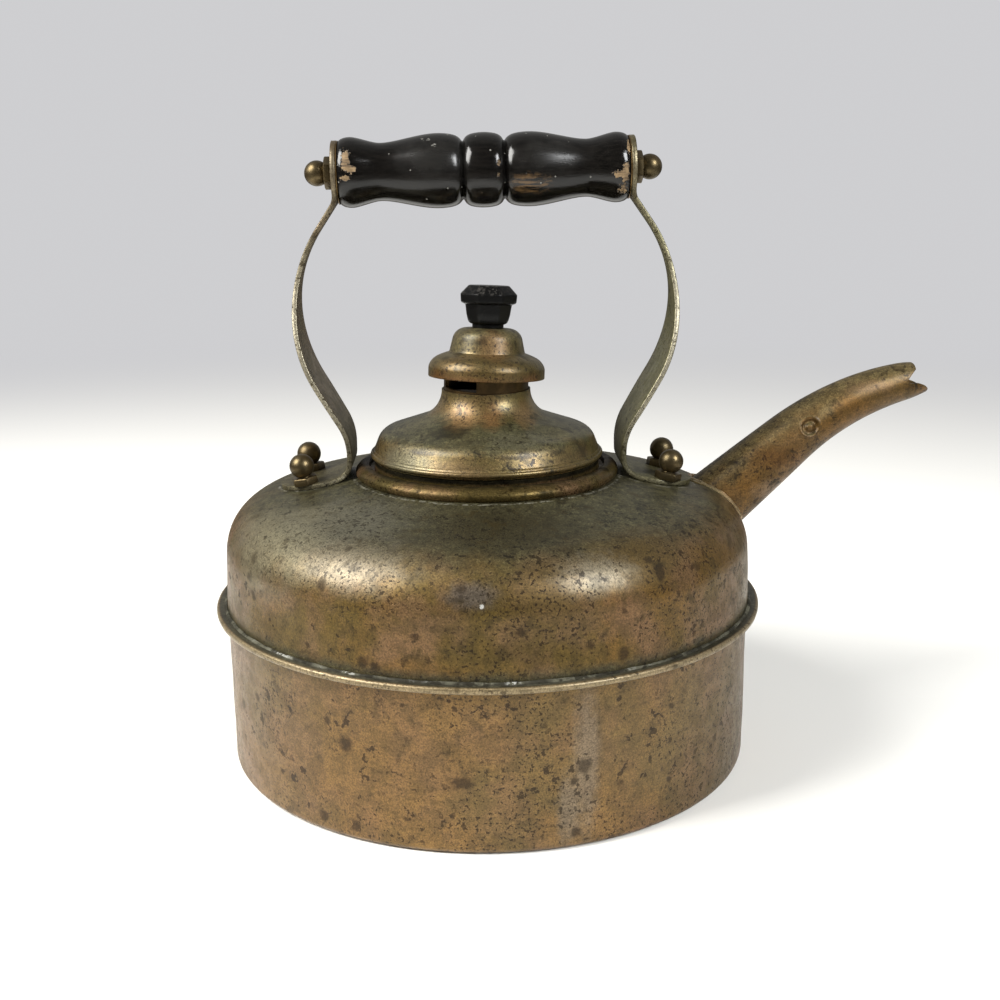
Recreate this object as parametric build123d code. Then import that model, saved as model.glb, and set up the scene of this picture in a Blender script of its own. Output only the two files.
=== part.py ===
from build123d import *
from math import cos, hypot, radians, sin, sqrt, tan
import os

# Stove-top kettle: a spun pan and dome joined by a rolled seam, a lift-off lid
# with a turning steam vent, a beaked spout with a whistle inside, and a turned
# wooden grip on two sprung straps. All sizes are millimetres and degrees.
# Origin: centre of the base, on the table. +Z up. The spout leaves towards +X
# and the bail stands near the XZ plane. Like any kettle made by hand this one is
# a little askew: the spout and the bail are swung, the bail stands behind the
# centre, the grip tilts and the vent leans.

os.makedirs("parts", exist_ok=True)

# ---------------------------------------------------------------- fits
face_gap = 0.05        # between soldered or bolted pieces on curved faces
running_gap = 0.08     # radial play of a turning fit
seat_gap = 0.3         # between a moving piece and the seat it rests on
skirt_play = 0.4       # radial play of the lid skirt in the mouth

# ---------------------------------------------------------------- pan and seam
pan_radius = 100.6
pan_depth = 58.6       # table to the underside of the seam
pan_wall = 1.0
pan_corner = 2.5       # outside radius between wall and bottom
seam_reach = 4.4       # the rolled seam stands out from the pan's wall
seam_sheet = 0.8       # sheet in the rolled seam
seam_round = 0.5
solder_rise = 1.1      # solder fillet above the hem
solder_width = 0.2     # between the dome's foot and the hem's inner edge

# ---------------------------------------------------------------- dome
dome_sheet = 0.8
dome_step = 0.4        # the dome's foot stands out from the pan's wall
dome_lean = 2.2        # the wall leans in by this angle
dome_wall_height = 22.6
shoulder_radius = 20.7
crown_slope = 10.6     # the crown is a shallow cone up to the mouth ring

# ---------------------------------------------------------------- mouth ring
mouth_inset = 50.5     # the mouth ring's foot lies this far inside the pan's wall
ring_height = 5.0
ring_edge = 0.8        # upright lower edge
ring_bulge = 3.9
ring_bulge_inset = 1.1     # of the bulge, the crest and the groove, from the ring's foot
ring_crest_inset = 3.6
ring_groove_inset = 5.2
ring_groove_depth = 2.2
ring_width = 8.3       # ring's foot to the bore that takes the lid
mouth_wall = 1.2
mouth_upstand = 1.45   # seat above the crest
mouth_depth = 7.0      # neck below the dome's surface

# ---------------------------------------------------------------- lid
lid_sheet = 0.6
lid_bead_reach = 2.7   # the lid's bead stands out over the bore
lid_bead_height = 3.4
lid_bead_swell = 1.0   # the bead stands out of the lid's wall by this much
lid_wall_step = 0.6    # small step above the bead
lid_wall_height = 3.8
lid_wall_lean = 20.0
lid_shoulder_radius = 6.4
lid_slope = 19.0
lid_flare_radius = 11.0
neck_radius = 16.85
skirt_depth = 9.0
skirt_sheet = 0.7

# ---------------------------------------------------------------- steam vent
vent_lean = 2.3        # the vent was soldered in leaning towards the spout
window_count = 3
window_angle = 60.0
window_height = 6.2
window_sill = 0.5      # windows above the neck's lip
window_centre = -133.0 # middle of the first window, from +X
collar_sheet = 0.7
collar_top = 8.7       # vent collar above the neck's lip
collar_root = 3.2      # vent collar below the neck's lip
shutter_sheet = 0.6
shutter_recess = 0.4   # shutter top below the collar's rim
hood_radius = 22.05
hood_gap = 5.1         # brim above the neck's lip
hood_band = 3.4        # upright band of the brim
hood_brim_rise = 3.0   # rounded brim above the band
hood_brim_mid = (2.4, 2.1)     # a point of the rounded brim, in from and above the band
hood_step_rise = 1.2   # small step between the brim and the dome
hood_step_width = 0.5
hood_sheet = 0.8
hood_crease_radius = 14.2
hood_wall_rise = 4.8
hood_wall_lean = 13.0
hood_crown_radius = 5.1
spindle_radius = 2.0
spindle_hub_radius = 4.0
spindle_tail = 0.8
bridge_drop = 1.4      # top of the bridge below the neck's lip
bridge_width = 6.0
bridge_sheet = 1.2
spring_radius = 4.5
spring_height = 0.8
nut_flats = 7.0
nut_height = 2.4

# ---------------------------------------------------------------- knob
knob_neck_radius = 5.95
knob_neck_height = 1.7
knob_corners = (6.5, 7.7, 8.3, 9.1, 10.8, 10.9, 8.0)    # octagon, centre to corner
knob_rises = (0.0, 1.2, 1.9, 4.1, 1.1, 3.3, 2.8)        # from one corner ring to the next
knob_sides = 8
knob_socket = 9.0

# ---------------------------------------------------------------- spout
spout_swing = 7.0      # azimuth, from the plane of the bail
spout_root_angle = 42.5    # place of the root on the dome's shoulder
spout_pitch = 39.5
spout_straight = 32.8
spout_bend_radius = 107.5
spout_length = 88.0    # root to the end of the upper lip, on the centreline
spout_root_radius = 12.8
spout_tip_radius = 7.3
spout_sheet = 0.9
spout_inset = 15.0     # reach of the blank inside the dome, trimmed off
beak_spare = 5.0       # blank beyond the lower lip, trimmed off
flange_width = 1.4
flange_sheet = 1.0
beak_lip = 5.6         # lower lip beyond the end of the centre line
beak_pinch = 0.012     # extra narrowing of the beak, from this far before its end:
beak_pinch_start = 4.0
# cut of the two lips, along and across the centre line from its end
beak_edge = ((1.5, 7.2), (1.1, 5.1), (-4.1, 1.0), (-2.1, 0.0),
             (0.6, -0.4), (3.2, -2.1), (5.3, -4.4))
whistle_station = 41.6
whistle_length = 12.0
whistle_sheet = 0.5
whistle_hole = 1.6
dimple_radius = 3.8
dimple_depth = 0.7
dimple_raise = 12.5    # angle above the sides of the spout

# ---------------------------------------------------------------- bail
bail_swing = 1.0       # azimuth of the bail
bail_offset = 3.5      # the bail stands this far behind the centre
bail_tilt = 0.75       # the spout end of the grip is the higher one
grip_height = 221.0    # axis of the grip above the table
grip_half = 53.1
grip_end_radius = 11.4
grip_bead_radius = 12.6
grip_bead_place = 48.0
grip_waist_radius = 10.4
grip_waist_place = 38.0
grip_swell_radius = 13.4
grip_swell_place = 18.0
grip_swell_shoulder = 12.3     # radius where the swell meets the groove
grip_groove_radius = 10.4
grip_groove_place = 7.7
grip_groove_half = 0.9
grip_centre_radius = 13.4
grip_centre_mid = (4.6, 13.15)  # a point of the centre bead's curve
grip_edge_round = 0.6  # the end face is this much smaller than grip_end_radius
grip_swell_start = (1, 0.35)   # direction of the outline beside the groove
grip_bead_finish = (0.25, -1)  # direction of the outline at the end face
ferrule_sheet = 0.5
ferrule_radius = 11.4
rod_radius = 2.5
rod_play = 0.3
strap_sheet = 1.9
eye_radius = 11.5
strap_neck_width = 10.0
strap_spread_width = 33.5
strap_ankle_width = 26.0
spread_rise = 32.0     # widest place of the strap above the mouth ring's foot
taper_drop = 11.0
taper_swell = 7.3
neck_drop = 9.3        # grip axis down to the strap's first bend
neck_bend_radius = 6.0
bow_corner_reach = 82.0    # tangents of the bow meet here
bow_corner_share = 0.579   # height of that corner, as a share of the strap's
bow_radius_share = 0.481   # radius of the bow, as a share of the strap's height
ankle_clearance = 2.8  # mouth ring's foot to the outer face of the strap
ankle_rise = 15.4
ankle_bend_radius = 22.0
foot_bend_radius = 6.0
pad_setback = 10.9     # strap's outer face to the centre of its round foot
pad_radius = 16.0
bolt_setback = 16.6    # strap's outer face to the circle of the foot bolts
bolt_spread = 11.8     # foot bolts, to each side of the bail's plane

# ---------------------------------------------------------------- ball nuts
ball_radius = 4.65
ball_flats = 8.2
ball_base_height = 2.7
ball_sink = 0.6        # ball sunk into its hexagon
ball_turns = (14.0, 38.0, 21.0, 5.0)   # how each foot nut happened to stop
grip_ball_flats = 10.4
grip_ball_base_height = 3.0
grip_ball_sink = 1.9
stud_radius = 1.9
stud_head_radius = 3.4
stud_head_height = 1.8
backing_radius = 4.6
backing_sheet = 0.8


# ---------------------------------------------------------------- helpers
def solid_of(points):
    """Spin a closed polygon of (radius, height) about the Z axis."""
    return revolve(make_face(Polyline([(r, 0, z) for r, z in points], close=True)), Axis.Z)


def spun_sheet(line, thickness, side=Side.RIGHT):
    """Spin sheet metal about Z. The line is its outside; RIGHT puts the sheet within it."""
    band = offset(line.wire(), amount=thickness, side=side, closed=True)
    return revolve(make_face(band.edges()), Axis.Z)


def tube(outer, inner, low, high):
    """Upright round tube on the Z axis."""
    return solid_of([(inner, low), (outer, low), (outer, high), (inner, high)])


def disc(radius, low, high):
    """Upright round disc on the Z axis."""
    return Pos(0, 0, (low + high) / 2) * Cylinder(radius, high - low)


def hexagon(flats, height):
    """Hexagonal prism standing on the XY plane."""
    return extrude(RegularPolygon(flats / 2, 6, major_radius=False), height)


def single(shape):
    """The largest solid of a boolean result."""
    return max(shape.solids(), key=lambda piece: piece.volume)


# ---------------------------------------------------------------- levels
seam_radius = pan_radius + seam_reach
ring_radius = pan_radius - mouth_inset
ring_bulge_radius = ring_radius - ring_bulge_inset
ring_crest_radius = ring_radius - ring_crest_inset
ring_groove_radius = ring_radius - ring_groove_inset
mouth_radius = ring_radius - ring_width
lid_bead_radius = mouth_radius + lid_bead_reach
ankle_reach = ring_radius + ankle_clearance
pad_centre = ankle_reach + pad_setback
bolt_circle = ankle_reach + bolt_setback
dome_foot_radius = pan_radius + dome_step
hem_edge_radius = dome_foot_radius + solder_width
lean = radians(dome_lean)
slope = radians(crown_slope)
dome_foot = pan_depth + seam_sheet
wall_foot = dome_foot + dome_sheet / 2
wall_top = dome_foot + dome_wall_height
wall_top_radius = dome_foot_radius - dome_wall_height * tan(lean)
shoulder_centre_radius = wall_top_radius - shoulder_radius * cos(lean)
shoulder_centre_height = wall_top - shoulder_radius * sin(lean)
crown_foot_radius = shoulder_centre_radius + shoulder_radius * sin(slope)
crown_foot = shoulder_centre_height + shoulder_radius * cos(slope)


def crown_height(radius):
    """Height of the conical crown's outside at a radius."""
    return crown_foot + (crown_foot_radius - radius) * tan(slope)


mouth_hole_radius = mouth_radius + mouth_wall + face_gap + dome_sheet * sin(slope)
ring_foot = crown_height(ring_radius)
ring_crest = ring_foot + ring_height
mouth_seat = ring_crest + mouth_upstand
lid_base = mouth_seat + seat_gap
skirt_radius = mouth_radius - skirt_play
bow_corner = ring_foot + bow_corner_share * (grip_height - ring_foot)
bow_radius = bow_radius_share * (grip_height - ring_foot)

lid_wall_foot = lid_base + lid_bead_height
lid_wall_radius = lid_bead_radius - lid_bead_swell
lid_lean = radians(lid_wall_lean)
lid_fall = radians(lid_slope)
lid_arc_radius = lid_wall_radius - lid_wall_step - lid_wall_height * tan(lid_lean)
lid_slope_foot_radius = lid_arc_radius - lid_shoulder_radius * (cos(lid_lean) - sin(lid_fall))
lid_slope_foot = (lid_wall_foot + lid_wall_height
                  + lid_shoulder_radius * (cos(lid_fall) - sin(lid_lean)))
flare_foot_radius = neck_radius + lid_flare_radius * (1 - sin(lid_fall))
flare_foot = lid_slope_foot + (lid_slope_foot_radius - flare_foot_radius) * tan(lid_fall)
neck_lip = flare_foot + lid_flare_radius * cos(lid_fall)

hood_brim = neck_lip + hood_gap
hood_step = hood_brim + hood_band + hood_brim_rise
hood_crease = hood_step + hood_step_rise
hood_lean = radians(hood_wall_lean)
hood_arc_radius = hood_crease_radius - hood_wall_rise * tan(hood_lean)
hood_top = hood_crease + hood_wall_rise + hood_crown_radius * (1 - sin(hood_lean))
knob_base = hood_top + face_gap

collar_radius = neck_radius - lid_sheet - face_gap - collar_root * tan(radians(vent_lean))
bail_place = Rot(0, 0, bail_swing)
grip_place = bail_place * Pos(0, bail_offset, grip_height) * Rot(0, -bail_tilt, 0)
vent_place = Pos(0, 0, neck_lip) * Rot(0, vent_lean, 0) * Pos(0, 0, -neck_lip)
collar_bore = collar_radius - collar_sheet
window_low = neck_lip + window_sill
bridge_top = neck_lip - bridge_drop
bridge_low = bridge_top - bridge_sheet
shutter_radius = collar_bore - running_gap
shutter_low = bridge_top + seat_gap
shutter_top = neck_lip + collar_top - shutter_recess
spring_top = bridge_low - seat_gap
nut_top = spring_top - spring_height - face_gap


# ---------------------------------------------------------------- pan, seam, dome
def base_pan():
    """Spun pan; its top edge turns out and folds back over the dome's flange."""
    hem_top = dome_foot + dome_sheet + seam_sheet
    with BuildLine(Plane.XZ) as line:
        FilletPolyline((0, 0), (pan_radius, 0), (pan_radius, pan_depth), radius=pan_corner)
    shell = spun_sheet(line, pan_wall)
    inner = seam_radius - seam_sheet
    hem = solid_of([
        (pan_radius - pan_wall, pan_depth), (seam_radius - seam_round, pan_depth),
        (seam_radius, pan_depth + seam_round), (seam_radius, hem_top - seam_round),
        (seam_radius - seam_round, hem_top), (hem_edge_radius + seam_sheet, hem_top),
        (hem_edge_radius, hem_top - seam_sheet), (inner, hem_top - seam_sheet),
        (inner, dome_foot), (pan_radius - pan_wall, dome_foot)])
    return single(shell + hem)


def dome_line():
    """Outside of the dome: leaning wall, shoulder arc and conical crown."""
    with BuildLine(Plane.XZ) as line:
        Line((dome_foot_radius, wall_foot), (wall_top_radius, wall_top))
        JernArc(start=(wall_top_radius, wall_top), tangent=(-sin(lean), cos(lean)),
                radius=shoulder_radius, arc_size=90 - dome_lean - crown_slope)
        Line((crown_foot_radius, crown_foot),
             (mouth_hole_radius, crown_height(mouth_hole_radius)))
    return line


def dome_skin(height):
    """Layer of the given height on the outside of the dome."""
    return spun_sheet(dome_line(), height, Side.LEFT)


def dome_core():
    """Everything under the dome's outside."""
    top = crown_height(mouth_hole_radius)
    back = Polyline((mouth_hole_radius, 0, top), (0, 0, top), (0, 0, wall_foot),
                    (dome_foot_radius, 0, wall_foot))
    return revolve(make_face(dome_line().edges() + back.edges()), Axis.Z)


def shoulder_dome():
    """Spun dome with its foot flange, pierced for the spout and the foot bolts."""
    shell = spun_sheet(dome_line(), dome_sheet)
    flange = tube(seam_radius - seam_sheet - face_gap, dome_foot_radius - dome_sheet,
                  dome_foot, dome_foot + dome_sheet)
    dome = shell + flange - spout_blank(-spout_sheet)
    for place in bolts:
        dome -= place * Cylinder(stud_radius + face_gap, 4 * strap_sheet)
    return single(dome)


def seam_solder():
    """Soft solder run into the corner between the dome and the hem."""
    low = dome_foot + dome_sheet + face_gap
    high = dome_foot + dome_sheet + seam_sheet + solder_rise
    outer = hem_edge_radius - face_gap
    inner = dome_foot_radius + face_gap
    return solid_of([(inner, low), (outer, low), (outer, low + seam_sheet), (inner, high)])


def mouth_ring():
    """Rolled ring round the lid opening: rounded crest, groove, upstand and neck."""
    groove_floor = ring_crest - ring_groove_depth
    outer = mouth_radius + mouth_wall
    lift = face_gap / cos(slope)
    with BuildLine(Plane.XZ) as line:
        ThreePointArc((ring_radius, ring_foot + ring_edge),
                      (ring_bulge_radius, ring_foot + ring_bulge), (ring_crest_radius, ring_crest))
        Polyline((ring_crest_radius, ring_crest), (ring_groove_radius, ring_crest),
                 (ring_groove_radius, groove_floor), (outer, groove_floor), (outer, mouth_seat),
                 (mouth_radius, mouth_seat), (mouth_radius, ring_foot - mouth_depth),
                 (outer, ring_foot - mouth_depth), (outer, crown_height(outer) + lift),
                 (ring_radius, ring_foot + lift), (ring_radius, ring_foot + ring_edge))
    return revolve(make_face(line.edges()), Axis.Z)


# ---------------------------------------------------------------- lid
def lid_shell():
    """Spun lid: flat underside, half-round bead, leaning wall, shoulder and flared neck."""
    bead_root = lid_bead_radius - lid_bead_swell
    with BuildLine(Plane.XZ) as line:
        Line((skirt_radius + face_gap, lid_base), (bead_root, lid_base))
        ThreePointArc((bead_root, lid_base), (lid_bead_radius, lid_base + lid_bead_height / 2),
                      (lid_wall_radius, lid_wall_foot))
        Polyline((lid_wall_radius, lid_wall_foot), (lid_wall_radius - lid_wall_step, lid_wall_foot),
                 (lid_arc_radius, lid_wall_foot + lid_wall_height))
        JernArc(start=(lid_arc_radius, lid_wall_foot + lid_wall_height),
                tangent=(-sin(lid_lean), cos(lid_lean)),
                radius=lid_shoulder_radius, arc_size=90 - lid_wall_lean - lid_slope)
        Line((lid_slope_foot_radius, lid_slope_foot), (flare_foot_radius, flare_foot))
        JernArc(start=(flare_foot_radius, flare_foot), tangent=(-cos(lid_fall), sin(lid_fall)),
                radius=lid_flare_radius, arc_size=lid_slope - 90)
    return spun_sheet(line, lid_sheet)


def lid_skirt():
    """Plain ring soldered in the lid; it locates the lid in the mouth."""
    return tube(skirt_radius, skirt_radius - skirt_sheet,
                lid_base - skirt_depth, lid_base + lid_sheet + face_gap)


def window_cut(outer):
    """Wedges that cut the vent windows out of a tube of that outside radius."""
    half = radians(window_angle / 2)
    reach = (outer + collar_sheet) / cos(half)
    along, across = reach * cos(half), reach * sin(half)
    triangle = Polyline((0, 0), (along, -across), (along, across), close=True)
    wedge = Pos(0, 0, window_low) * extrude(make_face(triangle), window_height)
    step = 360 / window_count
    return [Rot(0, 0, window_centre + step * turn) * wedge for turn in range(window_count)]


def vent_collar():
    """Windowed tube fixed in the lid's neck."""
    body = tube(collar_radius, collar_bore, neck_lip - collar_root, neck_lip + collar_top)
    for cut in window_cut(collar_radius):
        body -= cut
    return single(body)


def spindle_bridge():
    """Cross bar in the vent collar that carries the spindle."""
    bar = disc(collar_bore - face_gap, bridge_low, bridge_top) & (
        Pos(0, 0, (bridge_low + bridge_top) / 2) * Box(2 * collar_bore, bridge_width, bridge_sheet))
    return single(bar - disc(spindle_radius + running_gap, bridge_low, bridge_top))


# ---------------------------------------------------------------- turning vent cap
def vent_shutter():
    """Cup with matching windows; turned with the hood it closes the vent."""
    lip = shutter_radius - shutter_sheet
    bore = spindle_radius + face_gap
    under = shutter_top - shutter_sheet
    body = solid_of([(lip, shutter_low), (shutter_radius, shutter_low), (shutter_radius, shutter_top),
                     (bore, shutter_top), (bore, under), (lip, under)])
    for cut in window_cut(shutter_radius):
        body -= cut
    return single(body)


def vent_hood():
    """Spun hood: banded brim, rounded shoulder, crease and small dome."""
    band_top = hood_brim + hood_band
    with BuildLine(Plane.XZ) as line:
        Line((hood_radius, hood_brim), (hood_radius, band_top))
        ThreePointArc((hood_radius, band_top),
                      (hood_radius - hood_brim_mid[0], band_top + hood_brim_mid[1]),
                      (hood_crease_radius + hood_step_width, hood_step))
        Polyline((hood_crease_radius + hood_step_width, hood_step), (hood_crease_radius, hood_crease),
                 (hood_arc_radius, hood_crease + hood_wall_rise))
        JernArc(start=(hood_arc_radius, hood_crease + hood_wall_rise),
                tangent=(-sin(hood_lean), cos(hood_lean)),
                radius=hood_crown_radius, arc_size=90 - hood_wall_lean)
        Line((hood_arc_radius - hood_crown_radius * cos(hood_lean), hood_top),
             (spindle_radius + face_gap, hood_top))
    return spun_sheet(line, hood_sheet)


def vent_spindle():
    """Turned spindle: pin through the bridge, hub under the hood, pin into the knob."""
    low = nut_top - nut_height - spindle_tail
    hub_low = shutter_top + face_gap
    hub_high = hood_top - hood_sheet - face_gap
    high = knob_base + knob_socket - seat_gap
    return solid_of([(0, low), (spindle_radius, low), (spindle_radius, hub_low),
                     (spindle_hub_radius, hub_low), (spindle_hub_radius, hub_high),
                     (spindle_radius, hub_high), (spindle_radius, high), (0, high)])


def spring_washer():
    """Washer that loads the spindle against the bridge."""
    return tube(spring_radius, spindle_radius + face_gap, spring_top - spring_height, spring_top)


def spindle_nut():
    """Hexagon nut under the bridge."""
    low = nut_top - nut_height
    blank = Pos(0, 0, low) * hexagon(nut_flats, nut_height)
    return single(blank - disc(spindle_radius + face_gap, low, nut_top))


def knob():
    """Moulded knob: round neck, octagonal cup, band and chamfered top."""
    level = knob_base + knob_neck_height
    sections = []
    for corner, rise in zip(knob_corners, knob_rises):
        level += rise
        sections.append(Pos(0, 0, level) * RegularPolygon(corner, knob_sides))
    blank = loft(sections, ruled=True) + disc(knob_neck_radius, knob_base, knob_base + knob_neck_height)
    return single(blank - disc(spindle_radius + face_gap, knob_base, knob_base + knob_socket))


# ---------------------------------------------------------------- spout
def spout_station(place):
    """Plane square to the spout's centreline at a distance from its root."""
    aim = radians(spout_pitch)
    root = radians(spout_root_angle)
    radius = shoulder_centre_radius + shoulder_radius * cos(root)
    height = shoulder_centre_height + shoulder_radius * sin(root)
    run = min(place, spout_straight)
    bend = max(place - spout_straight, 0) / spout_bend_radius
    radius += run * cos(aim) + spout_bend_radius * (sin(aim) - sin(aim - bend))
    height += run * sin(aim) + spout_bend_radius * (cos(aim - bend) - cos(aim))
    heading = aim - bend
    return Rot(0, 0, spout_swing) * Plane(origin=(radius, 0, height), x_dir=(0, 1, 0),
                                          z_dir=(cos(heading), 0, sin(heading))).location


def spout_radius(place):
    """Outside radius of the tapered spout at a distance from its root."""
    pinched = max(place - spout_length + beak_pinch_start, 0)
    return (spout_root_radius + (spout_tip_radius - spout_root_radius) * place / spout_length
            - beak_pinch * pinched ** 2)


def spout_blank(grow):
    """Solid tapered and bent rod, grown or shrunk from the spout's outside."""
    neck = spout_length - beak_pinch_start
    places = [-spout_inset, 0, spout_straight / 2]
    places += [spout_straight + (neck - spout_straight) * step / 4 for step in range(5)]
    places += [neck + (beak_pinch_start + beak_lip + beak_spare) * step / 3 for step in (1, 2, 3)]
    return loft([spout_station(place) * Circle(spout_radius(place) + grow) for place in places])


def whistle_slab():
    """Slab of the whistle's length, square to the spout."""
    return spout_station(whistle_station) * Cylinder(spout_root_radius, whistle_length)


def dimple_balls(grow):
    """The two balls that press the dimples into the sides of the spout."""
    ball = (dimple_radius ** 2 + dimple_depth ** 2) / (2 * dimple_depth)
    offset_out = spout_radius(whistle_station) + ball - dimple_depth
    across = offset_out * cos(radians(dimple_raise))
    raised = offset_out * sin(radians(dimple_raise))
    place = spout_station(whistle_station)
    return [place * Pos(side * across, raised, 0) * Sphere(ball + grow) for side in (-1, 1)]


def beak_cut():
    """Prism that leaves a short upper lip, a notch and a longer lower lip."""
    clear = 2 * spout_root_radius
    outline = [(beak_edge[0][0], clear), *beak_edge, (beak_lip, -clear), (clear, -clear),
               (clear, clear)]
    face = make_face(Polyline([(0, across, along) for along, across in outline], close=True))
    return spout_station(spout_length) * extrude(face, clear, dir=(1, 0, 0), both=True)


def spout():
    """Tapered spout soldered on the dome, with a beak and two whistle dimples."""
    body = spout_blank(0) - spout_blank(-spout_sheet) - dome_core()
    body = single(body - beak_cut())
    bore = spout_blank(-spout_sheet / 2) & whistle_slab()
    for bump in dimple_balls(spout_sheet):
        body += bump & bore
    for ball in dimple_balls(0):
        body -= ball
    return single(body)


def spout_flange():
    """Raised solder flange round the spout's root."""
    ring = (dome_skin(flange_sheet) - dome_skin(face_gap)) & spout_blank(flange_width)
    return single(ring - spout_blank(face_gap))


def whistle_barrel():
    """Short tapered sleeve gripped by the dimples."""
    outer = spout_blank(-spout_sheet - face_gap) & whistle_slab()
    body = outer - spout_blank(-spout_sheet - face_gap - whistle_sheet)
    for ball in dimple_balls(spout_sheet + face_gap):
        body -= ball
    return single(body)


def whistle_plate(end):
    """Disc with a sounding hole at one end of the barrel."""
    place = whistle_station + end * (whistle_length / 2 - whistle_sheet)
    radius = spout_radius(place) - spout_sheet - whistle_sheet - 3 * face_gap
    plate = Cylinder(radius, whistle_sheet) - Cylinder(whistle_hole, whistle_sheet)
    return single(spout_station(place) * plate)


# ---------------------------------------------------------------- bail
def foot_places(side):
    """Locations on the dome of one side's two foot bolts, square to the crown."""
    places = []
    x = side * sqrt(bolt_circle ** 2 - bolt_spread ** 2)
    for y in (bail_offset - bolt_spread, bail_offset + bolt_spread):
        reach = hypot(x, y)
        normal = (sin(slope) * x / reach, sin(slope) * y / reach, cos(slope))
        places.append(Plane(origin=(x, y, crown_height(reach)), x_dir=(0, 1, 0), z_dir=normal).location)
    return places


def strap_outline(rise):
    """Front view of a strap, in the YZ plane: eye, neck, spread and ankle."""
    neck, spread, ankle = strap_neck_width / 2, strap_spread_width / 2, strap_ankle_width / 2
    low, high = ring_foot - ankle, grip_height
    points = [(ankle, low), (ankle, ring_foot + foot_bend_radius), (spread, ring_foot + spread_rise),
              (neck + taper_swell, bow_corner - taper_drop), (neck, bow_corner + taper_drop),
              (neck, high)]
    edge = Spline([(0, y, z) for y, z in points], tangents=[(0, 0, 1), (0, 0, 1)])
    foot = Line((0, -ankle, low), (0, ankle, low))
    head = Line((0, -neck, high), (0, neck, high))
    eye = Plane.YZ * Pos(0, grip_height + rise) * Circle(eye_radius)
    return make_face([edge, mirror(edge, about=Plane.XZ), foot, head]) + eye


def strap_point(side, x, z):
    """Point of the strap's upper part, turned with the tilted grip."""
    turn = side * radians(bail_tilt)
    rise = z - grip_height
    return (x * cos(turn) - rise * sin(turn), grip_height + x * sin(turn) + rise * cos(turn))


def bracket(side):
    """Strap of one side: eye, bowed strap and rounded foot on the dome."""
    face_x = grip_half + ferrule_sheet + strap_sheet
    foot_top = strap_sheet / cos(slope)
    eye = strap_point(side, face_x, grip_height)
    with BuildLine(Plane.XZ) as line:
        FilletPolyline(strap_point(side, face_x, grip_height + eye_radius + 1),
                       strap_point(side, face_x, grip_height - neck_drop),
                       strap_point(side, bow_corner_reach, bow_corner),
                       (ankle_reach, ring_foot + ankle_rise),
                       (ankle_reach, crown_height(ankle_reach) + foot_top),
                       (pad_centre, crown_height(pad_centre) + foot_top),
                       radius=[neck_bend_radius, bow_radius, ankle_bend_radius, foot_bend_radius])
    ribbon = make_face(offset(line.wire(), amount=strap_sheet, side=Side.LEFT, closed=True).edges())
    ribbon = extrude(ribbon, max(pad_radius, strap_spread_width / 2), dir=(0, 1, 0), both=True)
    front = extrude(strap_outline(eye[1] - grip_height), 2 * bow_corner_reach, dir=(1, 0, 0))
    footprint = Pos(pad_centre, 0, ring_foot) * Cylinder(pad_radius, 2 * (foot_bend_radius + strap_sheet))
    heel = Pos(ankle_reach + foot_bend_radius + pad_radius, 0, ring_foot) * Box(*3 * [2 * pad_radius])
    skin = Pos(0, -bail_offset, 0) * dome_skin(strap_sheet)
    body = Pos(0, bail_offset, 0) * (
        (ribbon & front) + (ribbon & footprint) + (skin & footprint & heel))
    hole = Cylinder(rod_radius + face_gap, 4 * strap_sheet)
    body -= Pos(eye[0], bail_offset, eye[1]) * Rot(0, 90 - side * bail_tilt, 0) * hole
    if side < 0:
        body = mirror(body, about=Plane.YZ)
    for place in foot_places(side):
        body -= place * Cylinder(stud_radius + face_gap, 4 * strap_sheet)
    return bail_place * single(body)


def grip():
    """Turned grip: centre bead between two grooves, two swells, waists and end beads."""
    near = grip_groove_place - grip_groove_half
    far = grip_groove_place + grip_groove_half
    end = grip_end_radius - grip_edge_round
    with BuildLine() as line:
        ThreePointArc((0, grip_centre_radius), grip_centre_mid, (near, grip_swell_shoulder))
        Polyline((near, grip_swell_shoulder), (grip_groove_place, grip_groove_radius),
                 (far, grip_swell_shoulder))
        Spline((far, grip_swell_shoulder), (grip_swell_place, grip_swell_radius),
               (grip_waist_place, grip_waist_radius), (grip_bead_place, grip_bead_radius),
               (grip_half, end), tangents=[grip_swell_start, grip_bead_finish])
        Polyline((grip_half, end), (grip_half, 0), (0, 0), (0, grip_centre_radius))
    half = revolve(make_face(line.edges()), Axis.X)
    body = half + mirror(half, about=Plane.YZ)
    body -= Rot(0, 90, 0) * Cylinder(rod_radius + rod_play, 2 * grip_half)
    return grip_place * single(body)


def grip_ferrules():
    """Thin washers between the wood and the eyes of the straps."""
    place = grip_half + ferrule_sheet / 2
    half = ferrule_sheet / 2 - face_gap
    ring = tube(ferrule_radius, rod_radius + face_gap, -half, half)
    return [grip_place * Pos(side * place, 0, 0) * Rot(0, 90, 0) * ring for side in (-1, 1)]


def grip_rod():
    """Steel rod through the grip, threaded into the ball nuts."""
    reach = grip_half + ferrule_sheet + strap_sheet + grip_ball_base_height + ball_radius
    return grip_place * Rot(0, 90, 0) * Cylinder(rod_radius, 2 * reach - 2 * seat_gap)


def ball_nut(flats, base_height, sink, bore, reach):
    """Ball on a hexagon, drilled from below; it stands on its base along +Z."""
    ball = Pos(0, 0, base_height + ball_radius - sink) * Sphere(ball_radius)
    return single(hexagon(flats, base_height) + ball - disc(bore + face_gap, 0, reach))


def grip_ball_nuts():
    """Ball nuts at the two ends of the grip."""
    place = grip_half + ferrule_sheet + strap_sheet + face_gap
    reach = grip_ball_base_height + ball_radius
    nut = ball_nut(grip_ball_flats, grip_ball_base_height, grip_ball_sink, rod_radius, reach)
    return [grip_place * Pos(side * place, 0, 0) * Rot(0, 90 * side, 0) * nut for side in (-1, 1)]


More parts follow.
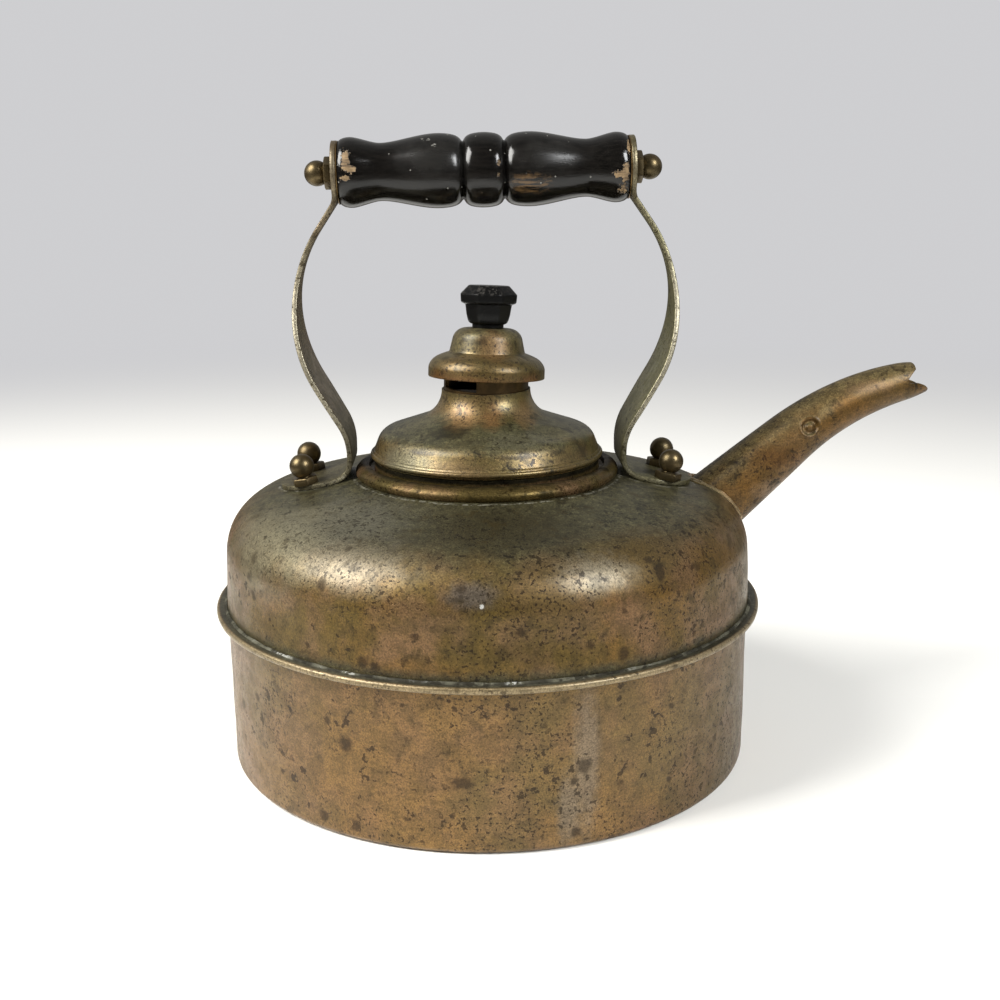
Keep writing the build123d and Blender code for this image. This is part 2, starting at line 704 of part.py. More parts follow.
def foot_ball_nuts():
    """Ball nuts on the feet, each stopped at its own angle."""
    nut = ball_nut(ball_flats, ball_base_height, ball_sink, stud_radius, ball_base_height + ball_radius)
    rise = strap_sheet + face_gap
    return [place * Pos(0, 0, rise) * Rot(0, 0, turn) * nut for place, turn in zip(bolts, ball_turns)]


def foot_studs():
    """Studs with round heads inside the dome."""
    head_top = -dome_sheet - backing_sheet - 2 * face_gap
    tip = strap_sheet + ball_base_height + ball_radius - seat_gap
    low = head_top - stud_head_height
    stud = solid_of([(0, low), (stud_head_radius, low), (stud_head_radius, head_top),
                     (stud_radius, head_top), (stud_radius, tip), (0, tip)])
    return [place * stud for place in bolts]


def backing_washers():
    """Washers between the stud heads and the inside of the dome."""
    top = -dome_sheet - face_gap
    washer = tube(backing_radius, stud_radius + face_gap, top - backing_sheet, top)
    return [place * washer for place in bolts]


# ---------------------------------------------------------------- build and export
bolts = [bail_place * place for place in foot_places(-1) + foot_places(1)]
pieces = {
    "base_pan": base_pan(),
    "shoulder_dome": shoulder_dome(),
    "seam_solder": seam_solder(),
    "mouth_ring": mouth_ring(),
    "spout": spout(),
    "spout_flange": spout_flange(),
    "whistle_barrel": whistle_barrel(),
    "whistle_rear_plate": whistle_plate(-1),
    "whistle_front_plate": whistle_plate(1),
    "right_bracket": bracket(1),
    "left_bracket": bracket(-1),
    "grip": grip(),
    "grip_ferrules": grip_ferrules(),
    "grip_rod": grip_rod(),
    "grip_ball_nuts": grip_ball_nuts(),
    "foot_ball_nuts": foot_ball_nuts(),
    "foot_studs": foot_studs(),
    "foot_washers": backing_washers(),
    "lid_shell": lid_shell(),
    "lid_skirt": lid_skirt(),
    "vent_collar": vent_place * vent_collar(),
    "spindle_bridge": vent_place * spindle_bridge(),
    "vent_hood": vent_place * vent_hood(),
    "vent_shutter": vent_place * vent_shutter(),
    "vent_spindle": vent_place * vent_spindle(),
    "spring_washer": vent_place * spring_washer(),
    "spindle_nut": vent_place * spindle_nut(),
    "knob": vent_place * knob(),
}

for node, shape in pieces.items():
    if isinstance(shape, list):
        shape = Compound([single(piece) for piece in shape])
    export_step(shape, f"parts/{node}.step")
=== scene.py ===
# %% [markdown]
# # A stove-top kettle, dressed for the camera
# The solids of this kettle already exist: pan, dome, lid, vent, spout and bail.
# Here they are loaded as a fixed frame, and the surfaces that people see are made
# again, finer: spun sheet with dents and soft edges, tarnish, pits, solder and
# worn paint. Every length is written in millimetres and scaled once, in one
# place, because a maker thinks of a kettle in millimetres and Blender in metres.

# %% Load the frame
import math

import bmesh
import bpy
import numpy as np
from mathutils import Matrix, Vector


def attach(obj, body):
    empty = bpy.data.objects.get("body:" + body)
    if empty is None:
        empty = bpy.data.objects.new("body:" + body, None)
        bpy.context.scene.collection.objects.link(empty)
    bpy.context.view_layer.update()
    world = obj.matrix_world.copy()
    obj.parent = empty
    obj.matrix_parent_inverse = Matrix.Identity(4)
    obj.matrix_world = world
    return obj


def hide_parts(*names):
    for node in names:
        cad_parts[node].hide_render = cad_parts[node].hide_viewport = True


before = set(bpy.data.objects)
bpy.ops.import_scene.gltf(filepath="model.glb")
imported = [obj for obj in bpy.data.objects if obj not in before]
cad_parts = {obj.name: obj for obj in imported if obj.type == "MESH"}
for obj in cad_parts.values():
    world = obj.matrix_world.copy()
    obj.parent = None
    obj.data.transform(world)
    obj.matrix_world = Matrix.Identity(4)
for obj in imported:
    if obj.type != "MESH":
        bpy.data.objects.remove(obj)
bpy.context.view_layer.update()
MM = 0.001

# %% [markdown]
# ## Camera
# The view looks slightly down on the kettle from a little above its lid, as one
# looks at something on a table. The camera is placed by three directions: where
# it looks, its right and its up. A matrix of those columns is exact, where a
# track constraint would leave the small roll to be guessed.

# %% Camera
LENS, SENSOR = 46.8, 36.0
LOOK_DOWN, LOOK_ASIDE, ROLL = 14.066, 0.585, -0.423
CAMERA_BACK, CAMERA_HEIGHT = 490.6, 219.4


def placed(name, data):
    """An object with this data, linked into the scene."""
    made = bpy.data.objects.new(name, data)
    bpy.context.scene.collection.objects.link(made)
    return made


def look_directions(pitch, yaw, roll):
    """Forward, right and up of a camera that looks down by pitch, turned by yaw and rolled."""
    p, y, r = np.radians([pitch, yaw, roll])
    forward = np.array([math.sin(y) * math.cos(p), math.cos(y) * math.cos(p), -math.sin(p)])
    level = np.array([math.cos(y), -math.sin(y), 0.0])
    above = np.cross(level, forward)
    right = math.cos(r) * level + math.sin(r) * above
    up = -math.sin(r) * level + math.cos(r) * above
    return forward, right, up


camera_data = bpy.data.cameras.new("camera")
camera_data.lens, camera_data.sensor_width = LENS, SENSOR
camera_data.clip_start, camera_data.clip_end = 0.05, 30.0
camera = placed("camera", camera_data)
forward, right, up = look_directions(LOOK_DOWN, LOOK_ASIDE, ROLL)
camera.matrix_world = Matrix([
    [right[0], up[0], -forward[0], 0.0],
    [right[1], up[1], -forward[1], -CAMERA_BACK * MM],
    [right[2], up[2], -forward[2], CAMERA_HEIGHT * MM],
    [0, 0, 0, 1]])
bpy.context.scene.camera = camera
bpy.context.scene.view_settings.view_transform = "Standard"
print("camera looks along", forward.round(3))

# %% [markdown]
# ## Windows
# Tarnished metal shows its surroundings more than its own colour, so the light
# matters as much as the paint. Two soft windows in front, left and right, give
# the paired highlights. They are area lights, because a point light would be
# mirrored as a dot.

# %% Windows
LIGHT_AIM = Vector((0, 0, 0.09))


def window_light(name, azimuth, elevation, distance, size, power, colour):
    """Soft rectangular light on a sphere round the kettle, facing it. Azimuth 0 is in front."""
    data = bpy.data.lights.new(name, "AREA")
    data.shape = "RECTANGLE"
    data.size, data.size_y = size
    data.energy, data.color = power, colour
    a, e = math.radians(azimuth), math.radians(elevation)
    out = Vector((math.sin(a) * math.cos(e), -math.cos(a) * math.cos(e), math.sin(e)))
    lamp = placed(name, data)
    lamp.location = LIGHT_AIM + out * distance
    lamp.rotation_mode = "QUATERNION"
    lamp.rotation_quaternion = out.to_track_quat("Z", "Y")


window_light("window_left", -70, 40, 1.4, (0.75, 0.85), 39.0, (1.0, 0.985, 0.95))
window_light("window_right", 47, 34, 1.5, (0.46, 0.66), 23.0, (0.97, 0.985, 1.0))

# %% [markdown]
# ## Node helper
# A procedural material is a small recipe: a place on the surface goes in, and
# noises, cells and ramps turn it into colour, roughness and height. Writing each
# node by hand hides the recipe, so a short helper makes one node per line and
# hands back its output.

# %% Node helper
class Recipe:
    """Builds the nodes of one material or world; each method adds nodes and returns an output."""

    def __init__(self, name, world=None):
        self.owner = world or bpy.data.materials.new(name)
        self.owner.use_nodes = True
        self.tree = self.owner.node_tree
        self.tree.nodes.clear()
        self.place = self.node("ShaderNodeTexCoord").outputs["Object"]

    def node(self, kind, settings=None, **inputs):
        """One node: settings are its own switches, inputs go to the sockets of those names."""
        made = self.tree.nodes.new(kind)
        for key, value in (settings or {}).items():
            setattr(made, key, value)
        for key, value in inputs.items():
            self.feed(made.inputs[key], value)
        return made

    def feed(self, socket, value):
        """Links an output to a socket, or sets the socket to a number or colour."""
        if isinstance(value, bpy.types.NodeSocket):
            self.tree.links.new(value, socket)
        elif socket.type == "RGBA" and isinstance(value, tuple):
            socket.default_value = (*value, 1.0)
        else:
            socket.default_value = value

    def math(self, operation, *values):
        """A number worked out from others by one operation."""
        made = self.node("ShaderNodeMath", {"operation": operation})
        for socket, value in zip(made.inputs, values):
            self.feed(socket, value)
        return made.outputs[0]

    def times(self, a, b):
        """Product of two numbers or masks."""
        return self.math("MULTIPLY", a, b)

    def vector(self, operation, a, b=(0, 0, 0)):
        """A vector, or a length or distance, worked out from one or two vectors."""
        made = self.node("ShaderNodeVectorMath", {"operation": operation})
        self.feed(made.inputs[0], a)
        self.feed(made.inputs[1], b)
        return made.outputs["Value" if operation in ("LENGTH", "DISTANCE") else "Vector"]

    def height(self):
        """Height of the point above the table, in metres."""
        return self.node("ShaderNodeSeparateXYZ", Vector=self.place).outputs["Z"]

    def from_axis(self):
        """Distance of the point from the kettle's axis, in metres."""
        return self.vector("LENGTH", self.vector("MULTIPLY", self.place, (1, 1, 0)))

    def stored(self, name):
        """A value that the mesh carries at each point."""
        return self.node("ShaderNodeAttribute", {"attribute_name": name}).outputs["Fac"]

    def noise(self, size, detail=4.0, rough=0.55, place=None, warp=0.0):
        """Smooth noise whose features are about size millimetres across."""
        return self.node("ShaderNodeTexNoise", Vector=place or self.place, Scale=1.0 / (size * MM),
                         Detail=detail, Roughness=rough, Distortion=warp).outputs["Fac"]

    def drift(self, reach, *noise):
        """Noise that swings round zero: (noise - 0.5) times reach."""
        return self.times(self.math("SUBTRACT", self.noise(*noise), 0.5), reach)

    def ease(self, value, low, high, start=0.0, end=1.0):
        """Smooth step of value between low and high, from start to end."""
        return self.node("ShaderNodeMapRange", {"interpolation_type": "SMOOTHSTEP"}, **{
            "Value": value, "From Min": low, "From Max": high, "To Min": start,
            "To Max": end}).outputs["Result"]

    def blend(self, share, a, b, mode="MIX"):
        """Mixes two colours."""
        made = self.node("ShaderNodeMix", {"data_type": "RGBA", "blend_type": mode})
        for k, value in ((0, share), (6, a), (7, b)):
            self.feed(made.inputs[k], value)
        return made.outputs[2]

    def level(self, share, a, b):
        """Mixes two numbers."""
        made = self.node("ShaderNodeMix", {"data_type": "FLOAT"})
        for k, value in ((0, share), (2, a), (3, b)):
            self.feed(made.inputs[k], value)
        return made.outputs[0]

    def most(self, *masks):
        """The largest of several masks."""
        best = masks[0]
        for mask in masks[1:]:
            best = self.math("MAXIMUM", best, mask)
        return best

    def shaken(self, size, reach):
        """The place, moved about by a noise, so that round cells get ragged outlines."""
        noise = self.node("ShaderNodeTexNoise", Vector=self.place, Scale=1.0 / (size * MM),
                          Detail=3.0)
        off = self.vector("SUBTRACT", noise.outputs["Color"], (0.5, 0.5, 0.5))
        scaled = self.node("ShaderNodeVectorMath", {"operation": "SCALE"}, Vector=off,
                           Scale=reach * MM)
        return self.vector("ADD", self.place, scaled.outputs["Vector"])

    def spots(self, spacing, radius, share, ragged=0.6, soft=0.25):
        """Scattered spots: one in some cells of a Voronoi pattern, 1 inside and 0 outside."""
        cells = self.node("ShaderNodeTexVoronoi", Scale=1.0 / (spacing * MM),
                          Vector=self.shaken(radius * 1.6, radius * ragged))
        luck = self.node("ShaderNodeSeparateColor", Color=cells.outputs["Color"])
        chosen = self.math("GREATER_THAN", luck.outputs[0], 1.0 - share)
        size = self.level(luck.outputs[1], radius * 0.45 / spacing, radius / spacing)
        ratio = self.math("DIVIDE", cells.outputs["Distance"], size)
        return self.times(self.ease(ratio, 1.0 + soft, 1.0 - soft), chosen)

    def patch(self, place, ragged=0.5, soft=0.35, grain=None):
        """A ragged patch. place is (x, y, z, radius) or (x, y, z, and a radius along each)."""
        point, radii = place[:3], place[3:] if len(place) == 6 else place[3:] * 3
        off = self.vector("SUBTRACT", self.place, tuple(v * MM for v in point))
        off = self.vector("DIVIDE", off, tuple(v * MM for v in radii))
        rag = self.drift(ragged * 2, grain or min(radii) * 0.8, 4.0, 0.6)
        reach = self.math("ADD", self.vector("LENGTH", off), rag)
        return self.ease(reach, 1.0 + soft, 1.0 - soft)

    def patches(self, rows, *style):
        """Several patches in one mask."""
        return self.most(*(self.patch(row, *style) for row in rows))

    def bump(self, height, depth):
        """Normal from a height of 0 to 1 that stands depth millimetres high."""
        return self.node("ShaderNodeBump", Height=height, Distance=depth * MM,
                         Strength=1.0).outputs["Normal"]

    def either(self, share, first, second):
        """Mixes two shaders."""
        made = self.node("ShaderNodeMixShader", Fac=share)
        self.feed(made.inputs[1], first.outputs[0])
        self.feed(made.inputs[2], second.outputs[0])
        return made

    def show(self, shader, kind="Material"):
        """Puts a shader on the material or world, which it returns."""
        self.node(f"ShaderNodeOutput{kind}", Surface=shader.outputs[0])
        return self.owner

    def finish(self, colour, roughness, metallic, normal, coat=0.0, coat_roughness=0.2, gloss=0.5):
        """The material's one surface shader."""
        return self.show(self.node("ShaderNodeBsdfPrincipled", **{
            "Base Color": colour, "Roughness": roughness, "Metallic": metallic, "Normal": normal,
            "Specular IOR Level": gloss, "Coat Weight": coat, "Coat Roughness": coat_roughness}))


def dimmed(tone, factor):
    """A colour times a factor."""
    return tuple(factor * v for v in tone)


# %% [markdown]
# ## Room and floor
# The side behind the kettle is brighter than the side in front, and the floor is
# nearly white. A smooth ramp along Y makes such a room without any picture. What
# the eye sees behind the kettle is a plain tone of its own, so the backdrop can
# be chosen without changing the reflections.

# %% Room and floor
BACK_TONE = (0.62, 0.62, 0.635)
DIM_SIDE, BRIGHT_SIDE, ROOM_POWER = (0.22, 0.205, 0.185), (0.86, 0.85, 0.83), 0.43
FLOOR_HALF, FLOOR_DROP = 6, 0.2


def room_sky():
    """World colour: dim in front, bright behind the kettle, and plain where the eye looks."""
    bpy.context.scene.world = bpy.data.worlds.new("room")
    r = Recipe("room", bpy.context.scene.world)
    way = r.node("ShaderNodeSeparateXYZ", Vector=r.place.node.outputs["Generated"])
    spread = r.node("ShaderNodeMapRange", **{
        "Value": way.outputs["Y"], "From Min": -0.6, "From Max": 0.7})
    ramp = r.node("ShaderNodeValToRGB", Fac=spread.outputs["Result"])
    ramp.color_ramp.interpolation = "EASE"
    for element, tone in zip(ramp.color_ramp.elements, (DIM_SIDE, BRIGHT_SIDE)):
        element.color = (*tone, 1)
    glow = r.node("ShaderNodeBackground", Color=ramp.outputs["Color"], Strength=ROOM_POWER)
    seen = r.node("ShaderNodeBackground", Color=BACK_TONE)
    r.show(r.either(r.node("ShaderNodeLightPath").outputs["Is Camera Ray"], glow, seen), "World")


def floor_paint():
    """Plain pale board that fades into the room's tone; reflections see it end like a table."""
    r = Recipe("floor_paint")
    reach = r.vector("LENGTH", r.place)
    ray = r.node("ShaderNodeLightPath")
    tone = r.blend(r.noise(300.0, 2.0), (0.90, 0.895, 0.86), (0.92, 0.915, 0.885))
    mirrored = r.times(r.ease(reach, 0.25, 0.55), ray.outputs["Is Glossy Ray"])
    board = r.node("ShaderNodeBsdfDiffuse", Color=r.blend(mirrored, tone, (0.14, 0.13, 0.115)))
    distant = r.node("ShaderNodeEmission", Color=BACK_TONE)
    far = r.times(r.ease(reach, 0.3, 1.3), ray.outputs["Is Camera Ray"])
    return r.show(r.either(far, board, distant))


room_sky()
floor_mesh = bpy.data.meshes.new("floor")
floor_mesh.from_pydata([(x, y, 0) for x, y in (
    (-FLOOR_HALF, -FLOOR_HALF), (FLOOR_HALF, -FLOOR_HALF), (FLOOR_HALF, FLOOR_HALF),
    (-FLOOR_HALF, FLOOR_HALF))], [], [(0, 1, 2, 3)])
floor_mesh.materials.append(floor_paint())
floor = placed("floor", floor_mesh)
floor.location.z = -FLOOR_DROP * MM
print("floor drops", FLOOR_DROP, "mm under the kettle's foot")

# %% [markdown]
# ## Sizes of the kettle
# A spun kettle is a stack of round profiles, so a few radii and heights say
# nearly everything. They are worked out here in the order the maker meets them:
# pan, seam, dome, mouth, lid and vent.

# %% Sizes
PAN_R, PAN_H, PAN_CORNER = 100.6, 58.6, 2.5
SEAM_R, SEAM_SHEET, HEM_IN = 105.0, 0.8, 101.9
SOLDER_GAP, COPPER_SHEET = 0.05, 0.8
DOME_FOOT_R, DOME_LEAN, DOME_WALL = 101.0, math.radians(2.2), 22.6
SHOULDER_R, CROWN_SLOPE = 20.7, math.radians(10.6)
DOME_FOOT = PAN_H + SEAM_SHEET
DOME_WALL_TOP = DOME_FOOT + DOME_WALL
DOME_TOP_R = DOME_FOOT_R - DOME_WALL * math.tan(DOME_LEAN)
TORUS_R = DOME_TOP_R - SHOULDER_R * math.cos(DOME_LEAN)
TORUS_Z = DOME_WALL_TOP - SHOULDER_R * math.sin(DOME_LEAN)
CROWN_R = TORUS_R + SHOULDER_R * math.sin(CROWN_SLOPE)
CROWN_Z = TORUS_Z + SHOULDER_R * math.cos(CROWN_SLOPE)


def crown_height(radius):
    """Height of the conical crown at a radius: the crown's foot plus the slope times the way in."""
    return CROWN_Z + (CROWN_R - radius) * math.tan(CROWN_SLOPE)


RING_R = 50.1
RING_FOOT = crown_height(RING_R)
RING_CREST = RING_FOOT + 5.0
MOUTH_SEAT = RING_CREST + 1.45
LID_BASE = MOUTH_SEAT + 0.3
print("mouth ring foot", round(RING_FOOT, 2), "lid base", round(LID_BASE, 2))

# %% [markdown]
# ## Profiles and spinning
# A lathe needs only half an outline. An outline is a list of (radius, height)
# points; arcs are sampled finely, because a shiny surface shows every facet.
# Sheet metal gets its thickness by moving each point along the outline's own
# normal. Spinning is a grid: the profile point picks the row, the angle picks
# the column, and all points are computed at once.

# %% Profiles and spinning
def arc(centre, radius, start, end, count):
    """Points on a circle: centre plus radius times (cosine, sine) from start to end, in degrees."""
    a = np.radians(np.linspace(start, end, count))
    return np.stack([centre[0] + radius * np.cos(a), centre[1] + radius * np.sin(a)], 1)


def run_through(*parts, step=1.5):
    """Joins points and arcs into one polyline and divides its straight runs evenly."""
    line = np.vstack([np.atleast_2d(np.asarray(p, float)) for p in parts])
    line = line[np.r_[True, np.linalg.norm(np.diff(line, axis=0), axis=1) > 1e-6]]
    at = np.r_[0, np.cumsum(np.linalg.norm(np.diff(line, axis=0), axis=1))]
    counts = [int(max(1, math.ceil((b - a) / step))) + 1 for a, b in zip(at, at[1:])]
    extra = [np.linspace(a, b, count)[1:-1] for a, b, count in zip(at, at[1:], counts)]
    where = np.unique(np.round(np.r_[at, np.concatenate(extra)], 7))
    return np.stack([np.interp(where, at, line[:, 0]), np.interp(where, at, line[:, 1])], 1)


def inside_of(line, thickness):
    """The line moved to its left by the thickness, point by point along the mean normal."""
    step = np.diff(line, axis=0)
    step /= np.linalg.norm(step, axis=1)[:, None]
    left = np.stack([-step[:, 1], step[:, 0]], 1)
    normal = np.vstack([left[:1], left[:-1] + left[1:], left[-1:]])
    normal /= np.linalg.norm(normal, axis=1)[:, None]
    return line + normal * thickness


def sheet_of(line, thickness):
    """Closed outline of a sheet whose outer face is the line, drawn foot-upward on the outside."""
    return np.vstack([line, inside_of(line, thickness)[::-1]])


def spin(profile, columns=256, wobble=None):
    """Grid of points: radius times (cos, sin) of the angle, and height, each moved by wobble."""
    angle = np.linspace(0, 2 * np.pi, columns, endpoint=False)
    radius, height = (np.repeat(profile[:, k, None], columns, 1) for k in (0, 1))
    if wobble is not None:
        out, rise = wobble(np.broadcast_to(angle, radius.shape), radius, height)
        radius, height = radius + out, height + rise
    return np.stack([radius * np.cos(angle), radius * np.sin(angle), height], 2)


def turn_about_z(angle):
    """Matrix that turns points about the upright axis."""
    c, s = math.cos(angle), math.sin(angle)
    return np.array([[c, -s, 0], [s, c, 0], [0, 0, 1]])


def angle_off(angle, middle):
    """Signed turn from a middle direction, between minus and plus half a turn."""
    return (angle - middle + np.pi) % (2 * np.pi) - np.pi


# %% [markdown]
# ## From grid to mesh
# A grid of points becomes a closed skin: four neighbours make one face, and rows
# or columns may close on themselves. Loops could be bridged one by one, but
# numbering the points row by row gives all faces at once. Points that fall
# together are merged, open ends are capped, and the faces are turned outwards.

# %% From grid to mesh
def grid_faces(rows, columns, wrap_rows, wrap_columns, start=0):
    """Quads between neighbours of a grid whose points are numbered row by row."""
    i = np.arange(rows if wrap_rows else rows - 1)[:, None]
    j = np.arange(columns if wrap_columns else columns - 1)[None, :]
    a, b = i * columns, ((i + 1) % rows) * columns
    k = (j + 1) % columns
    return (np.stack([a + j, a + k, b + k, b + j], 2) + start).reshape(-1, 4)


def piece(name, grids, body, material, replaces, sharp=35.0):
    """One object from grids, each (points in mm, rows close, columns close): merged and smooth."""
    points, faces, count = [], [], 0
    for grid, wrap_rows, wrap_columns in grids:
        rows, columns = grid.shape[:2]
        points.append(grid.reshape(-1, 3))
        faces.append(grid_faces(rows, columns, wrap_rows, wrap_columns, count))
        count += rows * columns
    mesh = bpy.data.meshes.new(name)
    mesh.from_pydata(np.vstack(points) * MM, [], np.vstack(faces).tolist())
    shape = bmesh.new()
    shape.from_mesh(mesh)
    bmesh.ops.remove_doubles(shape, verts=shape.verts, dist=1e-6)
    bmesh.ops.dissolve_degenerate(shape, edges=shape.edges, dist=1e-7)
    holes = [edge for edge in shape.edges if edge.is_boundary]
    if holes:
        bmesh.ops.holes_fill(shape, edges=holes)
    bmesh.ops.recalc_face_normals(shape, faces=shape.faces)
    shape.to_mesh(mesh)
    shape.free()
    mesh.shade_smooth()
    mesh.set_sharp_from_angle(angle=math.radians(sharp))
    mesh.materials.append(material)
    made = placed(name, mesh)
    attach(made, body)
    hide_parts(*replaces)
    print(f"{name}: {len(mesh.vertices)} points, {len(mesh.polygons)} faces")
    return made


# %% [markdown]
# ## Dents
# Spun sheet that has been used is never quite round. It could be dented by hand
# with a brush; a sum of slow waves and bell-shaped hollows does the same, can be
# read, and fades out where the sheet is stiff.

# %% Dents
def dents(*marks):
    """Outward push for a wobble: soft waves less a sum of hollows, each (angle in degrees,
    height, reach across, reach up, depth)."""
    def wobble(angle, radius, height):
        out = 0.10 * np.sin(3 * angle + 0.11 * height)
        out = out + 0.06 * np.sin(7 * angle - 0.23 * height + 1.3)
        out = out + 0.04 * np.sin(13 * angle + 0.31 * height + 0.4)
        for where, level, across, tall, depth in marks:
            along = angle_off(angle, math.radians(where)) * radius / across
            out = out - depth * np.exp(-along ** 2 - ((height - level) / tall) ** 2)
        return out
    return wobble


# %% [markdown]
# ## Tarnished copper
# Old copper is several things at once: warm metal where hands and cloths rub it,
# a thin olive film where they don't, dark pits where drops have eaten in, and
# fine lines round the axis from the spinning. Each is a mask, and the masks are
# laid over each other from the metal upward. The film and the pits are less
# metallic and duller than the metal, which is what makes them look like oxide
# and not like paint.

# %% Tarnished copper
def tarnish(name, warm, olive, film, film_share=None, pits=1.0, blots=1.0, dull=(0.40, 0.54),
            marks=(), pale=(), tints=(), metallic=0.68, stains=1.0, rosy=(0.19, 0.108, 0.062),
            coat=0.34, edge=None, blur=0.45, gloss=0.25):
    """Copper or brass under tarnish, from the bare metal upward.

    warm, olive and rosy are the metal's tones; film_share(recipe) gives the mask of the film, and
    edge is such a mask with its own tone, for worn edges and residue. In some pieces the film, the
    edge and some tints also carry painted shade, a painted sheen and painted highlights. marks (dark
    oxide) and pale (residue) are rows for patch(); a row of tints is such a place followed by a colour."""
    r = Recipe(name)
    cloud = r.ease(r.noise(55.0, 5.0, 0.6, warp=0.4), 0.40, 0.60)
    region = r.ease(r.noise(22.0, 4.0, 0.55), 0.42, 0.63)
    mottle = r.ease(r.noise(6.5, 6.0, 0.68), 0.40, 0.62)
    grain = r.noise(0.6, 3.0, 0.7)
    squeezed = r.node("ShaderNodeMapping", Vector=r.place, Scale=(0.12, 0.12, 1.0)).outputs[0]
    lines = r.noise(1.4, 3.0, 0.7, place=squeezed)

    # The metal's own colour, then the film, the local tints and the worn edge; in some pieces these
    # also carry painted shade, a painted sheen and painted highlights.
    colour = r.blend(r.times(cloud, 0.85), warm, olive)
    colour = r.blend(r.times(region, 0.55), colour, rosy)
    colour = r.blend(r.times(mottle, blur), colour, dimmed(olive, 0.50))
    metal = metallic
    if film_share is not None:
        share = film_share(r)
        dust = r.times(r.ease(r.noise(2.4, 6.0, 0.75), 0.48, 0.66), 0.55)
        film_tone = r.blend(dust, r.blend(mottle, film, dimmed(film, 0.55)), dimmed(film, 2.1))
        colour = r.blend(share, colour, film_tone)
        metal = r.level(share, metallic, 0.50)
    for row in tints:
        colour = r.blend(r.times(r.patch(row[:6], 0.6, 0.6), 0.8), colour, row[6:])
    if edge is not None:
        colour = r.blend(edge[0](r), colour, edge[1])
    for texture, contrast in ((lines, 0.6), (grain, 2.4)):
        shade = r.math("MULTIPLY_ADD", r.math("SUBTRACT", texture, 0.5), contrast, 1.0)
        colour = r.blend(1.0, colour, shade, "MULTIPLY")

    # Stains, and dark pits of three sizes that crowd together in places.
    stain = r.times(r.ease(r.noise(7.0, 7.0, 0.72, warp=0.3), 0.54, 0.66), 0.62 * stains)
    colour = r.blend(stain, colour, dimmed(olive, 0.32))
    crowd = r.math("MULTIPLY_ADD", r.ease(r.noise(30.0, 3.0, 0.6), 0.40, 0.60), 0.75, 0.25)
    low = 0.615 - 0.03 * pits
    tiny = r.times(r.ease(r.noise(1.15, 2.0, 0.55), low, low + 0.045), crowd)
    small = r.times(r.ease(r.noise(3.6, 3.0, 0.6), low + 0.025, low + 0.065),
                    r.ease(r.noise(18.0, 3.0), 0.36, 0.56))
    blot = r.times(r.spots(9.0, 2.1, 0.17 * blots, 1.7, 0.5), 0.8)
    dark = r.most(r.times(tiny, 0.95), r.times(small, 0.9), blot,
                  *(r.times(r.patch(row, 0.8, 0.5), 0.85) for row in marks))
    colour = r.blend(dark, colour, r.blend(1.0, colour, (0.26, 0.23, 0.17), "MULTIPLY"))

    # Oxide and film are duller than the metal.
    rough = r.math("ADD", r.level(mottle, *dull), r.times(r.math("SUBTRACT", grain, 0.5), 0.3))
    rough = r.level(dark, r.level(stain, rough, 0.60), 0.68)
    if film_share is not None:
        rough = r.level(share, rough, 0.55)
    for row in pale:
        spot = r.patch(row, 0.9)
        colour = r.blend(r.times(spot, 0.8), colour, (0.40, 0.40, 0.38))
        metal = r.level(spot, metal, 0.1)
    height = r.math("MULTIPLY_ADD", dark, -0.75, r.times(grain, 0.5))
    height = r.math("ADD", height, r.times(lines, 0.15))
    return r.finish(colour, rough, metal, r.bump(height, 0.09), coat, 0.34, gloss)


# %% [markdown]
# ## Films on pan and dome
# Film gathers where nobody rubs: over the crown and in corners. It could be
# painted on an image for each piece. A height with a border that wanders says
# the same in one line, and a distance from the axis finds the rubbed hem.

# %% Films on pan and dome
def above(level, reach, size=16.0, wander=9.0):
    """Mask function: the film lies above a height, with a border that wanders by a noise."""
    def share(r):
        height = r.height()
        shift = r.drift(wander * MM, size, 5.0, 0.65)
        return r.ease(r.math("ADD", height, shift), (level - reach) * MM, (level + reach) * MM)
    return share


WARM, OLIVE, FILM = (0.146, 0.080, 0.018), (0.098, 0.066, 0.015), (0.054, 0.049, 0.024)
# The second of these dark tones is dirt on the solder and painted shade in the mouth ring's groove
# under the lid.
GRIME, SOOT_AND_SHADE = (0.060, 0.056, 0.036), (0.012, 0.010, 0.005)


def pan_film(r):
    """Grime on top of the folded hem, inside its worn outer edge."""
    reach = r.from_axis()
    return r.times(above(60.2, 0.4, 4.0, 0.6)(r), r.ease(reach, 104.5 * MM, 103.6 * MM))


def dome_film(r):
    """Grey-green film over the crown, and grime in the corner above the seam."""
    height = r.height()
    shift = r.drift(7.0 * MM, 7.0, 5.0, 0.7)
    corner = r.ease(r.math("ADD", height, shift), 66.0 * MM, 61.5 * MM)
    return r.most(above(97.0, 7.0)(r), r.times(corner, 0.9))


def hem_edge(r):
    """The rounded outer edge of the hem, rubbed bright."""
    reach = r.from_axis()
    return r.times(r.ease(reach, 103.8 * MM, 104.6 * MM), 0.8)


# %% [markdown]
# ## Copper of pan and dome
# The pan has been scoured and is the warmer of the two; the dome keeps its olive
# film and pale dried lines round whatever stands on it. Both are the same recipe
# with other tones, and single marks and tints are placed where they are seen; three
# pale tints on the dome's shoulder are painted highlights and a painted sheen.

